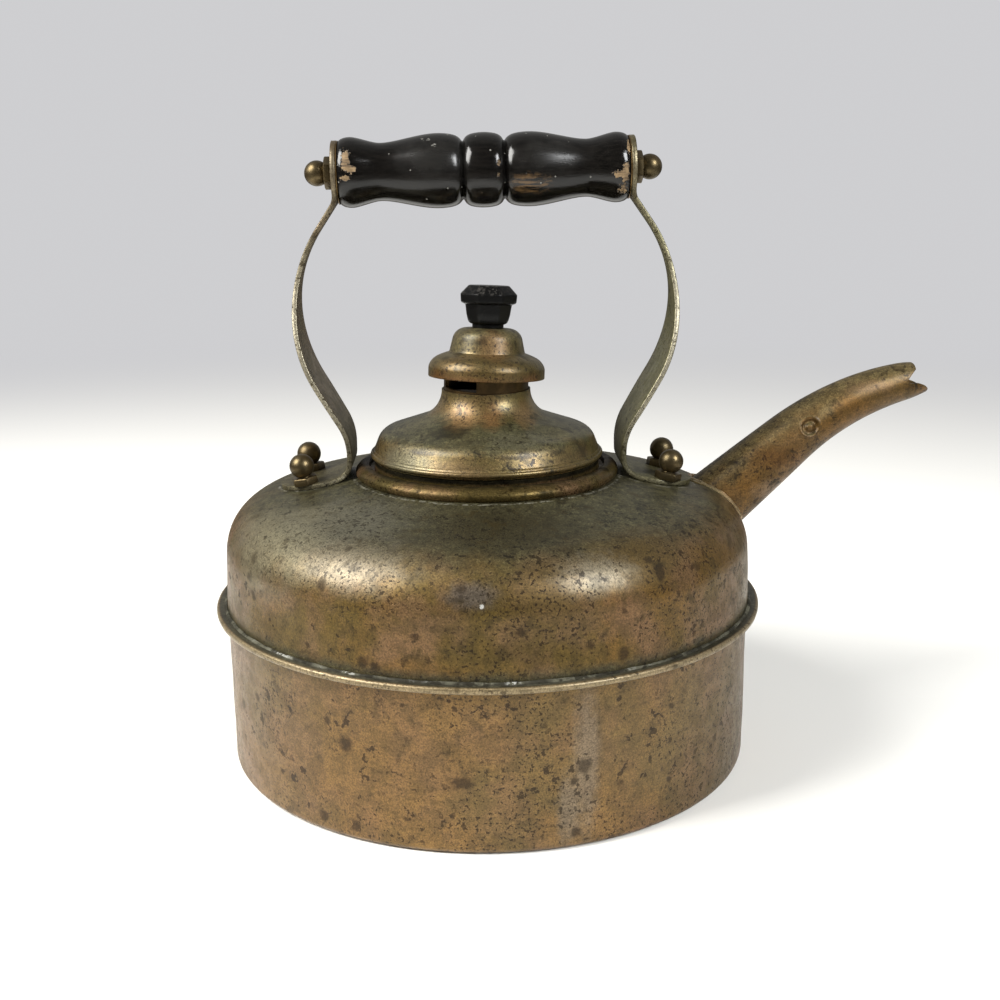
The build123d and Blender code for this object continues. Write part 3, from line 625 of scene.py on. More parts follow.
# %% Copper of pan and dome
pan_copper = tarnish(
    "pan_copper", (0.168, 0.095, 0.029), (0.120, 0.079, 0.025), GRIME, pan_film, pits=1.25,
    blots=0.8, blur=0.36, stains=0.8, rosy=(0.168, 0.093, 0.042),
    edge=(hem_edge, (0.245, 0.195, 0.112)),
    marks=((31.5, -95.5, 29.5, 2.6), (28.0, -96.5, 24.5, 1.4), (-48.0, -88.0, 35.0, 2.8),
           (-57.0, -83.0, 6.0, 2.0), (-9.0, -100.0, 26.0, 4.0, 4.0, 2.2), (28.5, -96.5, 6.0, 1.8)),
    tints=((32.0, -95.5, 32.0, 4.0, 6.0, 26.0, 0.168, 0.125, 0.080),
           (26.0, -97.0, 14.0, 3.5, 6.0, 12.0, 0.15, 0.115, 0.075)))
LINES_ROUND = ((0.0, 0.0, 51.2), (-63.8, 3.5, 16.9), (63.8, 3.5, 16.9))


def residue(r):
    """Pale dried lines round the mouth ring's foot and round the bail's two feet."""
    flat = r.vector("MULTIPLY", r.place, (1, 1, 0))
    lines = []
    for x, y, radius in LINES_ROUND:
        reach = r.math("ADD", r.vector("DISTANCE", flat, (x * MM, y * MM, 0)),
                       r.drift(1.6 * MM, 6.0, 3.0))
        off = r.math("ABSOLUTE", r.math("SUBTRACT", reach, radius * MM))
        lines.append(r.ease(off, 0.75 * MM, 0.25 * MM))
    broken = r.times(r.ease(r.noise(2.2, 4.0, 0.7), 0.44, 0.58),
                     r.ease(r.height(), 98.0 * MM, 101.0 * MM))
    return r.times(r.times(r.most(*lines), broken), 0.7)


dome_copper = tarnish(
    "dome_copper", WARM, OLIVE, FILM, dome_film, pits=1.25, blots=1.1, coat=0.24,
    edge=(residue, (0.26, 0.25, 0.20)),
    marks=((-41.0, -92.0, 65.5, 2.0), (-37.0, -93.5, 64.8, 1.6), (-23.6, -98.0, 76.0, 1.5),
           (10.4, -100.0, 78.0, 1.6), (-8.5, -98.0, 92.0, 1.9), (57.0, -79.0, 91.0, 2.0, 3.0, 4.2),
           (52.0, -83.0, 84.0, 1.5), (33.0, -95.0, 71.5, 1.4)),
    pale=((-2.0, -99.3, 86.5, 0.7),),
    tints=((-5.0, -98.0, 89.5, 8.0, 5.0, 4.0, 0.082, 0.068, 0.055),
           (4.0, -70.0, 105.0, 26.0, 16.0, 9.0, 0.026, 0.021, 0.008),
           (-52.0, -58.0, 103.0, 24.0, 22.0, 9.0, 0.094, 0.087, 0.060),
           (52.0, -80.0, 95.0, 18.0, 16.0, 9.0, 0.072, 0.046, 0.013),
           (20.0, -98.0, 92.0, 13.0, 8.0, 12.0, 0.088, 0.056, 0.016),
           # The last three tints are painted light: a painted sheen of the left window over the left
           # shoulder, and painted highlights of the left and right windows.
           (-74.0, -52.0, 93.0, 26.0, 26.0, 12.0, 0.150, 0.134, 0.084),
           (-42.0, -80.0, 93.5, 20.0, 14.0, 7.0, 0.143, 0.122, 0.082),
           (34.0, -86.0, 92.5, 13.0, 10.0, 5.5, 0.170, 0.146, 0.100)))
print("tarnished materials ready")

# %% [markdown]
# ## Plain metal
# Small parts deep inside the kettle need no tarnish of their own, only a stain
# that drifts and a fine wear.

# %% Plain metal
def plain_metal(name, light, dark, rough, metallic=0.9):
    """Dull metal with a drifting stain and fine wear."""
    r = Recipe(name)
    stain = r.ease(r.noise(5.0, 5.0, 0.6), 0.36, 0.66)
    fine = r.noise(0.8, 4.0, 0.6)
    colour = r.blend(r.times(stain, 0.8), light, dark)
    colour = r.blend(r.times(r.spots(3.2, 0.4, 0.35), 0.6), colour, dimmed(dark, 0.3))
    return r.finish(colour, r.level(fine, rough - 0.08, rough + 0.1), metallic, r.bump(fine, 0.03))

# %% [markdown]
# ## Pan
# The pan is one spun cup whose top edge turns out and folds over the dome's
# flange. It could be a cylinder with a bevel, but then its foot would be a hard
# ring; here the outline carries the small corner, the wall and the folded hem,
# and a few soft dents are added where a kettle gets knocked.

# %% Pan
PAN_SHEET = 1.0
hem_top = DOME_FOOT + 2 * SEAM_SHEET
pan_line = run_through(
    (0, 0), (PAN_R - PAN_CORNER, 0), arc((PAN_R - PAN_CORNER, PAN_CORNER), PAN_CORNER, -90, 0, 10),
    (PAN_R, PAN_H - 0.5), arc((PAN_R + 0.5, PAN_H - 0.5), 0.5, 180, 90, 4),
    arc((SEAM_R - 1.0, PAN_H + 1.0), 1.0, -90, 0, 8), arc((SEAM_R - 1.0, hem_top - 1.0), 1.0, 0, 90, 8),
    (HEM_IN, hem_top), arc((HEM_IN, hem_top - 0.6), 0.6, 90, 180, 5),
    (HEM_IN - 0.6, DOME_FOOT + SEAM_SHEET + SOLDER_GAP),
    (SEAM_R - 0.9, DOME_FOOT + SEAM_SHEET + SOLDER_GAP), (SEAM_R - 0.9, DOME_FOOT - SOLDER_GAP),
    (PAN_R - PAN_SHEET, DOME_FOOT - SOLDER_GAP), (PAN_R - PAN_SHEET, PAN_CORNER),
    arc((PAN_R - PAN_CORNER, PAN_CORNER), PAN_CORNER - PAN_SHEET, 0, -90, 6), (0, PAN_SHEET), step=2.5)
pan_dents = dents((-128, 30, 22, 16, 0.5), (-60, 22, 30, 14, 0.35), (35, 30, 26, 18, 0.5))


def pan_wobble(angle, radius, height):
    """Dents fade out towards the foot and the hem, which are stiff."""
    free = np.clip((height - 4) / 12, 0, 1) * np.clip((56 - height) / 10, 0, 1) * (radius > 95)
    hem = (height > 58) * (radius > 101.5)
    ripple = 0.12 * np.sin(5 * angle + 0.6) + 0.07 * np.sin(11 * angle + 2.0)
    return pan_dents(angle, radius, height) * free, hem * ripple * 0.5


piece("pan", [(spin(pan_line, 320, pan_wobble), False, True)], "kettle", pan_copper, ["base_pan"])

# %% [markdown]
# ## Dome
# The dome leans in a little, turns over a round shoulder and ends in a shallow
# cone. The shoulder is where the windows are mirrored, so it gets the finest
# steps. The sheet has its real thickness, and the inside shows when the lid is
# lifted.

# %% Dome
mouth_edge, flange_r = 43.2, 103.9
dome_line = run_through(
    (DOME_FOOT_R, DOME_FOOT + 0.75), (DOME_TOP_R, DOME_WALL_TOP),
    arc((TORUS_R, TORUS_Z), SHOULDER_R, math.degrees(DOME_LEAN), 90 - math.degrees(CROWN_SLOPE), 40),
    (mouth_edge, crown_height(mouth_edge)), step=1.6)
dome_sheet = np.vstack([sheet_of(dome_line, COPPER_SHEET), [
    (DOME_FOOT_R - COPPER_SHEET, DOME_FOOT + SOLDER_GAP), (flange_r, DOME_FOOT + SOLDER_GAP),
    (flange_r, DOME_FOOT + 0.75)]])
dome_dents = dents((-140, 74, 20, 10, 0.5), (-75, 72, 26, 9, 0.4), (-30, 80, 18, 9, 0.35))


def dome_wobble(angle, radius, height):
    """The dome is stiff at its foot and under the mouth ring and the bail's feet."""
    free = np.clip((height - 64) / 8, 0, 1) * np.clip((102.5 - height) / 6, 0, 1)
    return dome_dents(angle, radius, height) * free, 0.0


piece("dome", [(spin(dome_sheet, 320, dome_wobble), True, True)], "kettle", dome_copper,
      ["shoulder_dome"])

# %% [markdown]
# ## Solder in the seam
# Soft solder was run into the corner over the hem and never cleaned off. A torus
# would look like a gasket; here the bead's height and width follow a sum of
# waves round the kettle, so it swells and thins as it did under the iron.

# %% Solder in the seam
def solder_paint():
    """Grey-green where it has dulled, nearly white in crumbs where it is bare."""
    r = Recipe("seam_solder_grey")
    tone = r.blend(r.ease(r.noise(8.0, 4.0), 0.40, 0.60), (0.026, 0.024, 0.016), (0.100, 0.096, 0.068))
    tone = r.blend(r.times(r.ease(r.noise(2.6, 4.0), 0.52, 0.62), 0.85), tone, SOOT_AND_SHADE)
    near = r.patches(((-70.0, -74.0, 61.0, 3.5, 4, 3), (8.0, -102.0, 61.0, 2, 3, 3),
                      (-46.0, -91.0, 61.0, 2, 3, 3)), 0.5, 0.6)
    elsewhere = r.times(r.ease(r.noise(12.0, 3.0), 0.56, 0.64), 0.25)
    crumbs = r.times(r.most(near, elsewhere), r.ease(r.noise(1.1, 3.0, 0.6), 0.46, 0.56))
    colour = r.blend(crumbs, tone, (0.34, 0.34, 0.31))
    return r.finish(colour, 0.75, 0.2, r.bump(r.noise(2.5, 5.0, 0.65), 0.45), gloss=0.2)


ring_angle = np.linspace(0, 2 * np.pi, 720, endpoint=False)
swell = (0.9 + 0.28 * np.sin(9 * ring_angle + 1.0) * np.sin(4 * ring_angle)
         + 0.20 * np.sin(23 * ring_angle + 2.0) + 0.12 * np.sin(57 * ring_angle))
bead_turn = np.radians(np.linspace(0, 360, 13)[:-1])[:, None]
bead_out = np.clip(101.25 + (0.42 + 0.55 * swell) * np.cos(bead_turn), 100.7, 103.2)
bead_up = hem_top - 0.55 + (0.75 + 0.55 * swell) * np.sin(bead_turn)
solder = np.stack([bead_out * np.cos(ring_angle), bead_out * np.sin(ring_angle), bead_up], 2)
piece("seam_solder_bead", [(solder, True, True)], "kettle", solder_paint(), ["seam_solder"])

# %% [markdown]
# ## Mouth ring
# The ring round the opening is rolled: a rounded outer bulge, a flat crest, a
# groove and the upright neck that takes the lid. The lid covers the groove, so
# from outside it reads as one soft roll with a dark line above it.

# %% Mouth ring
MOUTH_R, NECK_OUT = 41.8, 43.0
lift = SOLDER_GAP / math.cos(CROWN_SLOPE)
SEAT_R, NECK_FOOT = 48.9, RING_FOOT - 7.0
ring_roll = np.array([(RING_R, 0.8), (50.35, 1.7), (50.1, 2.8), (49.3, 3.75), (48.2, 4.5),
                      (47.1, 4.92)])
ring_groove = np.array([(46.2, 0), (45.3, -0.1), (44.9, -0.6), (44.8, -2.0), (44.4, -2.2), (43.2, -2.2),
                        (NECK_OUT, -2.0)])
ring_out = run_through(
    (RING_R - 0.5, RING_FOOT + lift + 0.1), ring_roll + (0, RING_FOOT), ring_groove + (0, RING_CREST),
    (NECK_OUT, MOUTH_SEAT - 0.3), (NECK_OUT - 0.3, MOUTH_SEAT), (MOUTH_R + 0.3, MOUTH_SEAT),
    (MOUTH_R, MOUTH_SEAT - 0.3), (MOUTH_R, NECK_FOOT), (NECK_OUT, NECK_FOOT),
    (NECK_OUT, crown_height(NECK_OUT) + lift), (SEAT_R, crown_height(SEAT_R) + lift), step=0.7)


def ring_wobble(angle, radius, height):
    """The ring is not quite true: it sags a little and its edge has been knocked."""
    free = np.clip((radius - 44.5) / 3, 0, 1)
    out = 0.05 * np.sin(2 * angle + 1) + 0.04 * np.sin(9 * angle)
    return free * out, free * 0.06 * np.sin(5 * angle + 2)


# The film above the crest is near black: painted shade in the groove and on the neck, in the gap under
# the lid.
ring_brass = tarnish(
    "ring_brass", (0.092, 0.064, 0.021), (0.067, 0.051, 0.017), SOOT_AND_SHADE,
    above(RING_CREST - 0.2, 0.6, 4.0, 1.2), pits=1.0, blots=0.8, dull=(0.34, 0.46), stains=1.3,
    coat=0.04, gloss=0.05)
piece("mouth_ring_rolled", [(spin(ring_out, 256, ring_wobble), True, True)], "kettle", ring_brass,
      ["mouth_ring"])

# %% [markdown]
# ## Lid
# The lid is spun in one piece: a half-round bead at its edge, a small step, a
# leaning wall, a round shoulder, a conical top and a flare up to the vent. The
# neck has been rubbed by fingers turning the vent, so it is copper-bright there
# and green in the hollow where nobody rubs.

# %% Lid
LID_SHEET, LID_WALL_R, WALL_RISE = 0.6, 43.5, 3.8
LID_SHOULDER, FLARE, NECK_R = 6.4, 11.0, 16.85
LID_FALL, LID_LEAN = 19, 20
lid_fall, lid_lean = math.radians(LID_FALL), math.radians(LID_LEAN)
wall_foot = LID_BASE + 3.4
wall_top = wall_foot + WALL_RISE
wall_top_r = LID_WALL_R - 0.6 - WALL_RISE * math.tan(lid_lean)
shoulder_c = (wall_top_r - LID_SHOULDER * math.cos(lid_lean),
              wall_top - LID_SHOULDER * math.sin(lid_lean))
slope_foot = (shoulder_c[0] + LID_SHOULDER * math.sin(lid_fall),
              shoulder_c[1] + LID_SHOULDER * math.cos(lid_fall))
flare_r = NECK_R + FLARE
flare_foot_r = flare_r - FLARE * math.sin(lid_fall)
flare_foot_z = slope_foot[1] + (slope_foot[0] - flare_foot_r) * math.tan(lid_fall)
NECK_LIP = flare_foot_z + FLARE * math.cos(lid_fall)
lid_line = run_through(
    (41.45, LID_BASE), (43.3, LID_BASE), arc((LID_WALL_R, LID_BASE + 1.7), 1.0, -80, 80, 14),
    (43.3, LID_BASE + 3.35), (42.95, wall_foot + 0.15), (wall_top_r, wall_top),
    arc(shoulder_c, LID_SHOULDER, LID_LEAN, 90 - LID_FALL, 18), slope_foot,
    arc((flare_r, NECK_LIP), FLARE, 270 - LID_FALL, 180, 26), step=0.8)
print("neck lip at", round(NECK_LIP, 3))


def lid_wobble(angle, radius, height):
    """A thumb-sized hollow on the shoulder by the spout side, and faint unevenness elsewhere."""
    free = np.clip((height - LID_BASE - 4) / 4, 0, 1) * np.clip((radius - 19) / 6, 0, 1)
    near = np.hypot(angle_off(angle, math.radians(-47)) * radius / 6.5, (radius - 33.5) / 4.5)
    hollow = 0.45 * np.exp(-near ** 2) - 0.16 * np.exp(-((near - 1.5) / 0.4) ** 2)
    wave = 0.05 * np.sin(4 * angle + 0.9) + 0.03 * np.sin(9 * angle + 0.2 * radius)
    return -0.4 * free * hollow, free * (wave - hollow)


def lid_film(r):
    """Film in the hollow of the flare and on the cone, wandering; none on neck or bead."""
    height = r.math("ADD", r.height(), r.drift(9.0 * MM, 9.0, 5.0, 0.6))
    low = r.ease(height, 121.5 * MM, 125.5 * MM)
    high = r.ease(height, 134.5 * MM, 129.5 * MM)
    return r.times(r.times(low, high), 0.85)


lid_brass = tarnish(
    "lid_brass", (0.148, 0.109, 0.036), (0.104, 0.085, 0.029), (0.066, 0.063, 0.031), lid_film,
    pits=1.3, blots=1.4, rosy=(0.168, 0.100, 0.038), dull=(0.34, 0.48), stains=1.4, coat=0.42,
    marks=((-14.0, -25.0, 128.0, 9.0, 6.0, 2.6), (0.0, -29.0, 126.0, 7.0, 5.0, 1.5),
           (15.0, -32.0, 121.5, 2.0, 3.0, 1.2), (-32.0, -20.0, 122.5, 2.5, 4.0, 2.5),
           (-7.0, -36.0, 119.0, 0.9), (-22.0, -31.0, 122.5, 6.0, 5.0, 1.0),
           (8.0, -37.0, 121.8, 8.0, 5.0, 0.8), (34.0, -20.0, 120.0, 3.0, 6.0, 3.0),
           (24.0, -30.0, 122.0, 4.0, 5.0, 1.2)),
    tints=((-9.0, -17.0, 132.5, 6, 8, 5.5, 0.205, 0.118, 0.046),
           (2.0, -18.0, 131.5, 4, 8, 5, 0.155, 0.078, 0.026),
           (14, -14, 131.5, 4, 8, 5, 0.180, 0.112, 0.046),
           (-10, -42, 117.0, 12, 6, 4, 0.150, 0.098, 0.042),
           (8, -30, 124.0, 12, 8, 4, 0.105, 0.098, 0.060),
           (-30, -28, 119.0, 12, 12, 5, 0.128, 0.114, 0.066)))
piece("lid", [(spin(sheet_of(lid_line, LID_SHEET), 256, lid_wobble), True, True)], "lid", lid_brass,
      ["lid_shell"])

# %% [markdown]
# ## Vent hood
# The turning cap is a hat: an upright band, a round brim, a crease and a small
# dome. It leans a little towards the spout, as the whole vent does, and it was
# soldered to its spindle nodding slightly back. So it is spun upright, where its
# outline is easy to write, and its points are turned afterwards.

# %% Vent hood
VENT_LEAN, HOOD_NOD, HOOD_HUB = 2.3, 3.2, NECK_LIP + 20.0


def leaned(grid, nod=HOOD_NOD):
    """Nods points back about X at the hood's hub, then leans them towards +X at the neck's lip."""
    a, b = math.radians(VENT_LEAN), math.radians(nod)
    y, z = grid[..., 1], grid[..., 2] - HOOD_HUB
    y, z = y * math.cos(b) + z * math.sin(b), HOOD_HUB - y * math.sin(b) + z * math.cos(b)
    x, z = grid[..., 0], z - NECK_LIP
    return np.stack([x * math.cos(a) + z * math.sin(a), y,
                     NECK_LIP - x * math.sin(a) + z * math.cos(a)], -1)


HOOD_R, HOOD_SHEET, CROWN_FOOT_R, CROWN_RISE, CROWN_ROUND = 22.05, 0.8, 14.3, 4.9, 5.1
brim = NECK_LIP + 4.3
crease_z = brim + 9.6
HOOD_LEAN = 13
hood_lean = math.radians(HOOD_LEAN)
crown_wall_r = CROWN_FOOT_R - CROWN_RISE * math.tan(hood_lean)
crown_c = (crown_wall_r - CROWN_ROUND * math.cos(hood_lean),
           crease_z + CROWN_RISE - CROWN_ROUND * math.sin(hood_lean))
HOOD_TOP = crown_c[1] + CROWN_ROUND
band_and_brim = np.array([
    (HOOD_R, 3.0), (22.0, 3.7), (21.75, 4.5), (21.35, 5.3), (20.8, 6.05), (20.1, 6.75), (19.1, 7.45),
    (18.0, 8.0), (16.8, 8.5), (15.6, 8.95), (14.85, 9.2)]) + (0, brim)
hood_line = run_through(
    (HOOD_R - 0.15, brim), (HOOD_R, brim + 0.2), band_and_brim, (14.6, crease_z - 0.3),
    (14.4, crease_z - 0.15), (CROWN_FOOT_R, crease_z), (14.15, crease_z + 0.5),
    (crown_wall_r, crease_z + CROWN_RISE), arc(crown_c, CROWN_ROUND, HOOD_LEAN, 90, 16),
    (2.05, HOOD_TOP), step=0.6)
hood_brass = tarnish(
    "hood_brass", (0.116, 0.080, 0.025), (0.083, 0.065, 0.021), (0.086, 0.074, 0.034),
    above(158.0, 12.0, 8.0, 26.0), pits=0.9, blots=0.8, rosy=(0.160, 0.092, 0.032),
    dull=(0.32, 0.46), stains=1.2,
    tints=((-6.0, -21.5, 144.5, 12, 6, 3.0, 0.215, 0.110, 0.042),
           (-17.0, -14.0, 145.0, 7, 8, 4, 0.13, 0.060, 0.020),
           (3.0, -13.0, 157.0, 5, 6, 7, 0.150, 0.088, 0.035),
           (16.0, -15.0, 145.0, 5, 6, 3, 0.17, 0.085, 0.035)))
piece("vent_hood_spun", [(leaned(spin(sheet_of(hood_line, HOOD_SHEET), 192)), True, True)], "vent_cap",
      hood_brass, ["vent_hood"])

# %% [markdown]
# ## Vent collar
# The collar under the hood is a ring with windows. A ring with holes is awkward
# as one grid, so it is stacked from blocks of a ring: a whole one below the
# windows, a whole one above them, and a short one for each wall between two.

# %% Vent collar
COLLAR_R, COLLAR_BORE, COLLAR_FOOT, COLLAR_TOP = 16.07, 15.37, NECK_LIP - 3.2, NECK_LIP + 8.7
SILL, LINTEL, WALLS = NECK_LIP + 0.5, NECK_LIP + 6.7, ((-103, 77), (137, 197))


def collar_block(low, high, start=0, end=360):
    """Closed block of the collar between two angles in degrees; a whole turn closes on itself."""
    corners = np.array([(COLLAR_R, low), (COLLAR_R, high), (COLLAR_BORE, high), (COLLAR_BORE, low)])
    whole = end - start >= 360
    angle = np.radians(np.linspace(start, end, max(2, int((end - start) / 2.5) + 1)))
    angle = angle[:-1] if whole else angle
    radius, height = corners[:, :1], np.repeat(corners[:, 1:], len(angle), 1)
    ring = np.stack([radius * np.cos(angle), radius * np.sin(angle), height], 2)
    return leaned(ring, nod=0.0), True, whole


collar_brass = plain_metal("collar_brass", (0.105, 0.066, 0.028), (0.050, 0.034, 0.016), 0.38)
blocks = [collar_block(COLLAR_FOOT, SILL), collar_block(LINTEL, COLLAR_TOP)]
blocks += [collar_block(SILL, LINTEL, *wall) for wall in WALLS]
piece("vent_collar_ring", blocks, "lid", collar_brass, ["vent_collar"])

# %% [markdown]
# ## Knob
# The knob is moulded with eight sides. An octagon swept upward would have knife
# edges; a rounded one is a circle squeezed towards its flats: the radius at an
# angle is that of the nearest flat, softened near the corners by a power mean of
# all eight flats. One formula gives every ring, and the ring's size follows the
# knob's outline.

# %% Knob
def many_sided(angle, sides, softness):
    """Radius of a rounded polygon of unit corners, as a power mean: the sum of
    cos(angle - flat) ** n over the flats, to the power -1/n, times the flats' distance."""
    middles = 2 * np.pi * (np.arange(sides) + 0.5) / sides
    facing = np.clip(np.cos(angle[..., None] - middles), 1e-3, None)
    return math.cos(math.pi / sides) * (facing ** softness).sum(-1) ** (-1.0 / softness)


def faceted(profile, sides, columns, softness=26.0, turn=0.0):
    """Grid of a many-sided turning: profile rows are (corner radius, height, roundness 0 to 1)."""
    angle = np.linspace(0, 2 * np.pi, columns, endpoint=False)
    unit = many_sided(angle, sides, softness)
    corner, height, plain = (profile[:, k, None] for k in range(3))
    radius = corner * (unit * (1 - plain) + math.cos(math.pi / sides) * plain)
    angle = angle + turn
    return np.stack([radius * np.cos(angle), radius * np.sin(angle),
                     np.broadcast_to(height, radius.shape)], 2)


def set_at(grid, place):
    """The grid moved by a matrix of four columns: three axes and a point."""
    return grid @ place[:3, :3].T + place[:3, 3]


def bakelite():
    """Black moulding: satin, with grey scuffs on the upper chamfer and the edges."""
    r = Recipe("knob_black")
    top = r.ease(r.height(), (HOOD_TOP + 12.4) * MM, (HOOD_TOP + 13.6) * MM)
    rubbed = r.ease(r.noise(1.6, 6.0, 0.7), 0.50, 0.66)
    scuffs = r.times(top, r.most(rubbed, r.spots(1.5, 0.35, 0.5, 0.9)))
    worn = r.most(scuffs, r.times(r.ease(r.noise(3.2, 5.0, 0.7), 0.62, 0.74), 0.5))
    colour = r.blend(r.times(worn, 0.5), (0.004, 0.004, 0.004), (0.060, 0.055, 0.048))
    rough = r.level(worn, 0.28, 0.6)
    return r.finish(colour, rough, 0.0, r.bump(r.noise(0.8, 4.0), 0.03), gloss=0.15)


KNOB_FLATS = 8
knob_rows = np.array([
    (0, 0, 1), (5.8, 0, 1), (5.9, 0.1, 1), (5.9, 1.3, 1), (6.1, 1.45, .8), (6.8, 1.75, .4),
    (7.3, 2.2, .2), (7.7, 3.1, .1), (8.2, 5.1, 0), (8.55, 7.6, 0), (8.75, 8.75, 0),
    (9.3, 9.0, 0), (10.1, 9.35, 0), (10.4, 9.8, 0), (10.5, 10.8, 0), (10.6, 12.2, 0),
    (10.55, 12.6, 0), (10.25, 12.95, 0), (7.9, 15.45, 0), (7.6, 15.7, 0.05), (7.2, 15.8, 0.1),
    (0, 15.8, 1)], float)
knob_rows[:, 0] /= math.cos(math.pi / KNOB_FLATS)
knob_rows[:, 1] += HOOD_TOP + 0.05
at = np.linspace(0, len(knob_rows) - 1, 3 * len(knob_rows) - 2)
knob_rows = np.stack([np.interp(at, np.arange(len(knob_rows)), column) for column in knob_rows.T], 1)
knob_grid = faceted(knob_rows, KNOB_FLATS, 192, turn=math.pi / KNOB_FLATS)
piece("knob_moulded", [(leaned(knob_grid), False, True)], "vent_cap", bakelite(), ["knob"],
      sharp=50)

# %% [markdown]
# ## Spout
# The spout is a tapered tube that rises straight and then bends forward. Its
# centre line is a line and an arc, its radius falls evenly to the beak, and the
# cut of the two lips is a function too: how far a point reaches forward depends
# only on how high it lies in the section. So root and beak need no boolean: the
# grid simply starts where the tube meets the dome and ends on the cut.

# %% Spout
SWING = math.radians(7.0)
ROOT, PITCH, STRAIGHT, BEND = math.radians(42.5), math.radians(39.5), 32.8, 107.5
SPOUT_LENGTH, SPOUT_SHEET, SPOUT_ROOT_R, SPOUT_TIP_R = 88.0, 0.9, 12.8, 7.3
DIMPLE_ALONG, DIMPLE_TURN, DIMPLE_DEPTH, DIMPLE_R = 41.6, math.radians(12.5), 1.10, 3.05
BUTTON_RISE, BUTTON_R = 1.05, 1.65
LIPS = np.array([  # how high in the section, how far forward
    (-20, 5.6), (-4.9, 5.55), (-4.4, 5.3), (-3.2, 4.4), (-2.1, 3.2), (-1.0, 1.6), (-0.4, 0.5),
    (-0.1, -1.2), (0.1, -2.6), (0.9, -4.0), (1.4, -3.7), (3.4, -1.2), (5.1, 1.1), (6.4, 1.45),
    (7.4, 1.5), (20, 1.5)])


def spout_centre(along):
    """Centre line: up the straight, then round the bend; with the heading at each place."""
    run = np.minimum(along, STRAIGHT)
    heading = PITCH - np.maximum(along - STRAIGHT, 0) / BEND
    radius = (TORUS_R + SHOULDER_R * math.cos(ROOT) + run * math.cos(PITCH)
              + BEND * (math.sin(PITCH) - np.sin(heading)))
    height = (TORUS_Z + SHOULDER_R * math.sin(ROOT) + run * math.sin(PITCH)
              + BEND * (np.cos(heading) - math.cos(PITCH)))
    return radius, height, heading


def spout_radius(along):
    """Outside radius: an even taper, pinched just before the beak."""
    pinched = np.maximum(along - SPOUT_LENGTH + 4.0, 0)
    return SPOUT_ROOT_R + (SPOUT_TIP_R - SPOUT_ROOT_R) * along / SPOUT_LENGTH - 0.012 * pinched ** 2


def spout_point(along, around, inward=0.0):
    """Point of the tube: centre plus radius times (sideways, upward) of the section."""
    out, height, heading = spout_centre(along)
    radius = spout_radius(along) - inward
    side, rise = radius * np.cos(around), radius * np.sin(around)
    upright = np.stack([out - rise * np.sin(heading), side, height + rise * np.cos(heading)], -1)
    return upright @ turn_about_z(SWING).T


def clear_of_dome(points):
    """How far points lie outside the dome's skin: along the shoulder's arc, or above the cone."""
    radius = np.hypot(points[..., 0], points[..., 1])
    shoulder = np.hypot(radius - TORUS_R, points[..., 2] - TORUS_Z) - SHOULDER_R
    cone = (points[..., 2] - crown_height(radius)) * math.cos(CROWN_SLOPE)
    wall = radius - DOME_TOP_R - (DOME_WALL_TOP - points[..., 2]) * math.tan(DOME_LEAN)
    on_cone = (radius < CROWN_R) & (points[..., 2] > TORUS_Z)
    return np.where(on_cone, cone, np.where(points[..., 2] > DOME_WALL_TOP, shoulder, wall))


def root_of(around, inward=0.0, clear=0.0):
    """Place along the spout where each line of the tube leaves the dome, found by halving."""
    low, high = np.full_like(around, -14.0), np.full_like(around, 20.0)
    for _ in range(40):
        middle = (low + high) / 2
        inside = clear_of_dome(spout_point(middle, around, inward)) < clear
        low, high = np.where(inside, middle, low), np.where(inside, high, middle)
    return (low + high) / 2


def dimple(along, around):
    """Inward push of the two whistle dimples: a deep ring round a small button, and a raised rim."""
    push = 0.0
    for middle in (DIMPLE_TURN, math.pi - DIMPLE_TURN):
        reach = np.hypot(angle_off(around, middle) * spout_radius(along), along - DIMPLE_ALONG)
        push = push + DIMPLE_DEPTH / (1 + np.exp((reach - DIMPLE_R) / 0.17))
        push = push - BUTTON_RISE * np.exp(-(reach / BUTTON_R) ** 4)
        push = push - 0.20 * np.exp(-((reach - 3.8) / 0.5) ** 2)
    return push


# %% [markdown]
# ## Spout skin, rim and lining
# The tube is three stretches of one grid: the skin from the root to the lips, a
# narrow rounded rim, and the lining back down to the root. A thickness could be
# added afterwards by a modifier, but it would thicken the sharp lips unevenly.
# The rows stand closest where the whistle's dimples are pressed in.

# %% Spout skin, rim and lining
around = np.linspace(0, 2 * np.pi, 288, endpoint=False)
lip_end = SPOUT_LENGTH + np.interp(spout_radius(SPOUT_LENGTH) * np.sin(around), LIPS[:, 0], LIPS[:, 1])
start = root_of(around, clear=-0.4)
steps = ((0, 0.40, 60), (0.40, 0.56, 60), (0.56, 0.97, 70), (0.97, 1, 8))
share = np.unique(np.concatenate([np.linspace(*run) for run in steps]))[:, None]
along = start + (lip_end - start) * share
skin = spout_point(along, around, dimple(along, around) + 0.05 * np.sin(along / 9.0 + 2 * around))
rim_in = np.array([0.12, 0.40, 0.65, 0.85])[:, None]
rim_on = np.array([0.04, 0.07, 0.04, 0.0])[:, None]
rim = spout_point(lip_end + rim_on, around, rim_in)
along = start + (lip_end - start) * share[::-2]
lining = spout_point(along, around, SPOUT_SHEET + dimple(along, around))
print("spout root from", start.min().round(2), "to", start.max().round(2))


# %% [markdown]
# ## Spout copper
# The top of the spout is a lighter olive, partly film and partly a painted sheen of
# the light from above, and its flank is coppery. A height alone can't tell them
# apart on a leaning tube, so each point stores how far it faces up, and the lighter
# olive follows that.

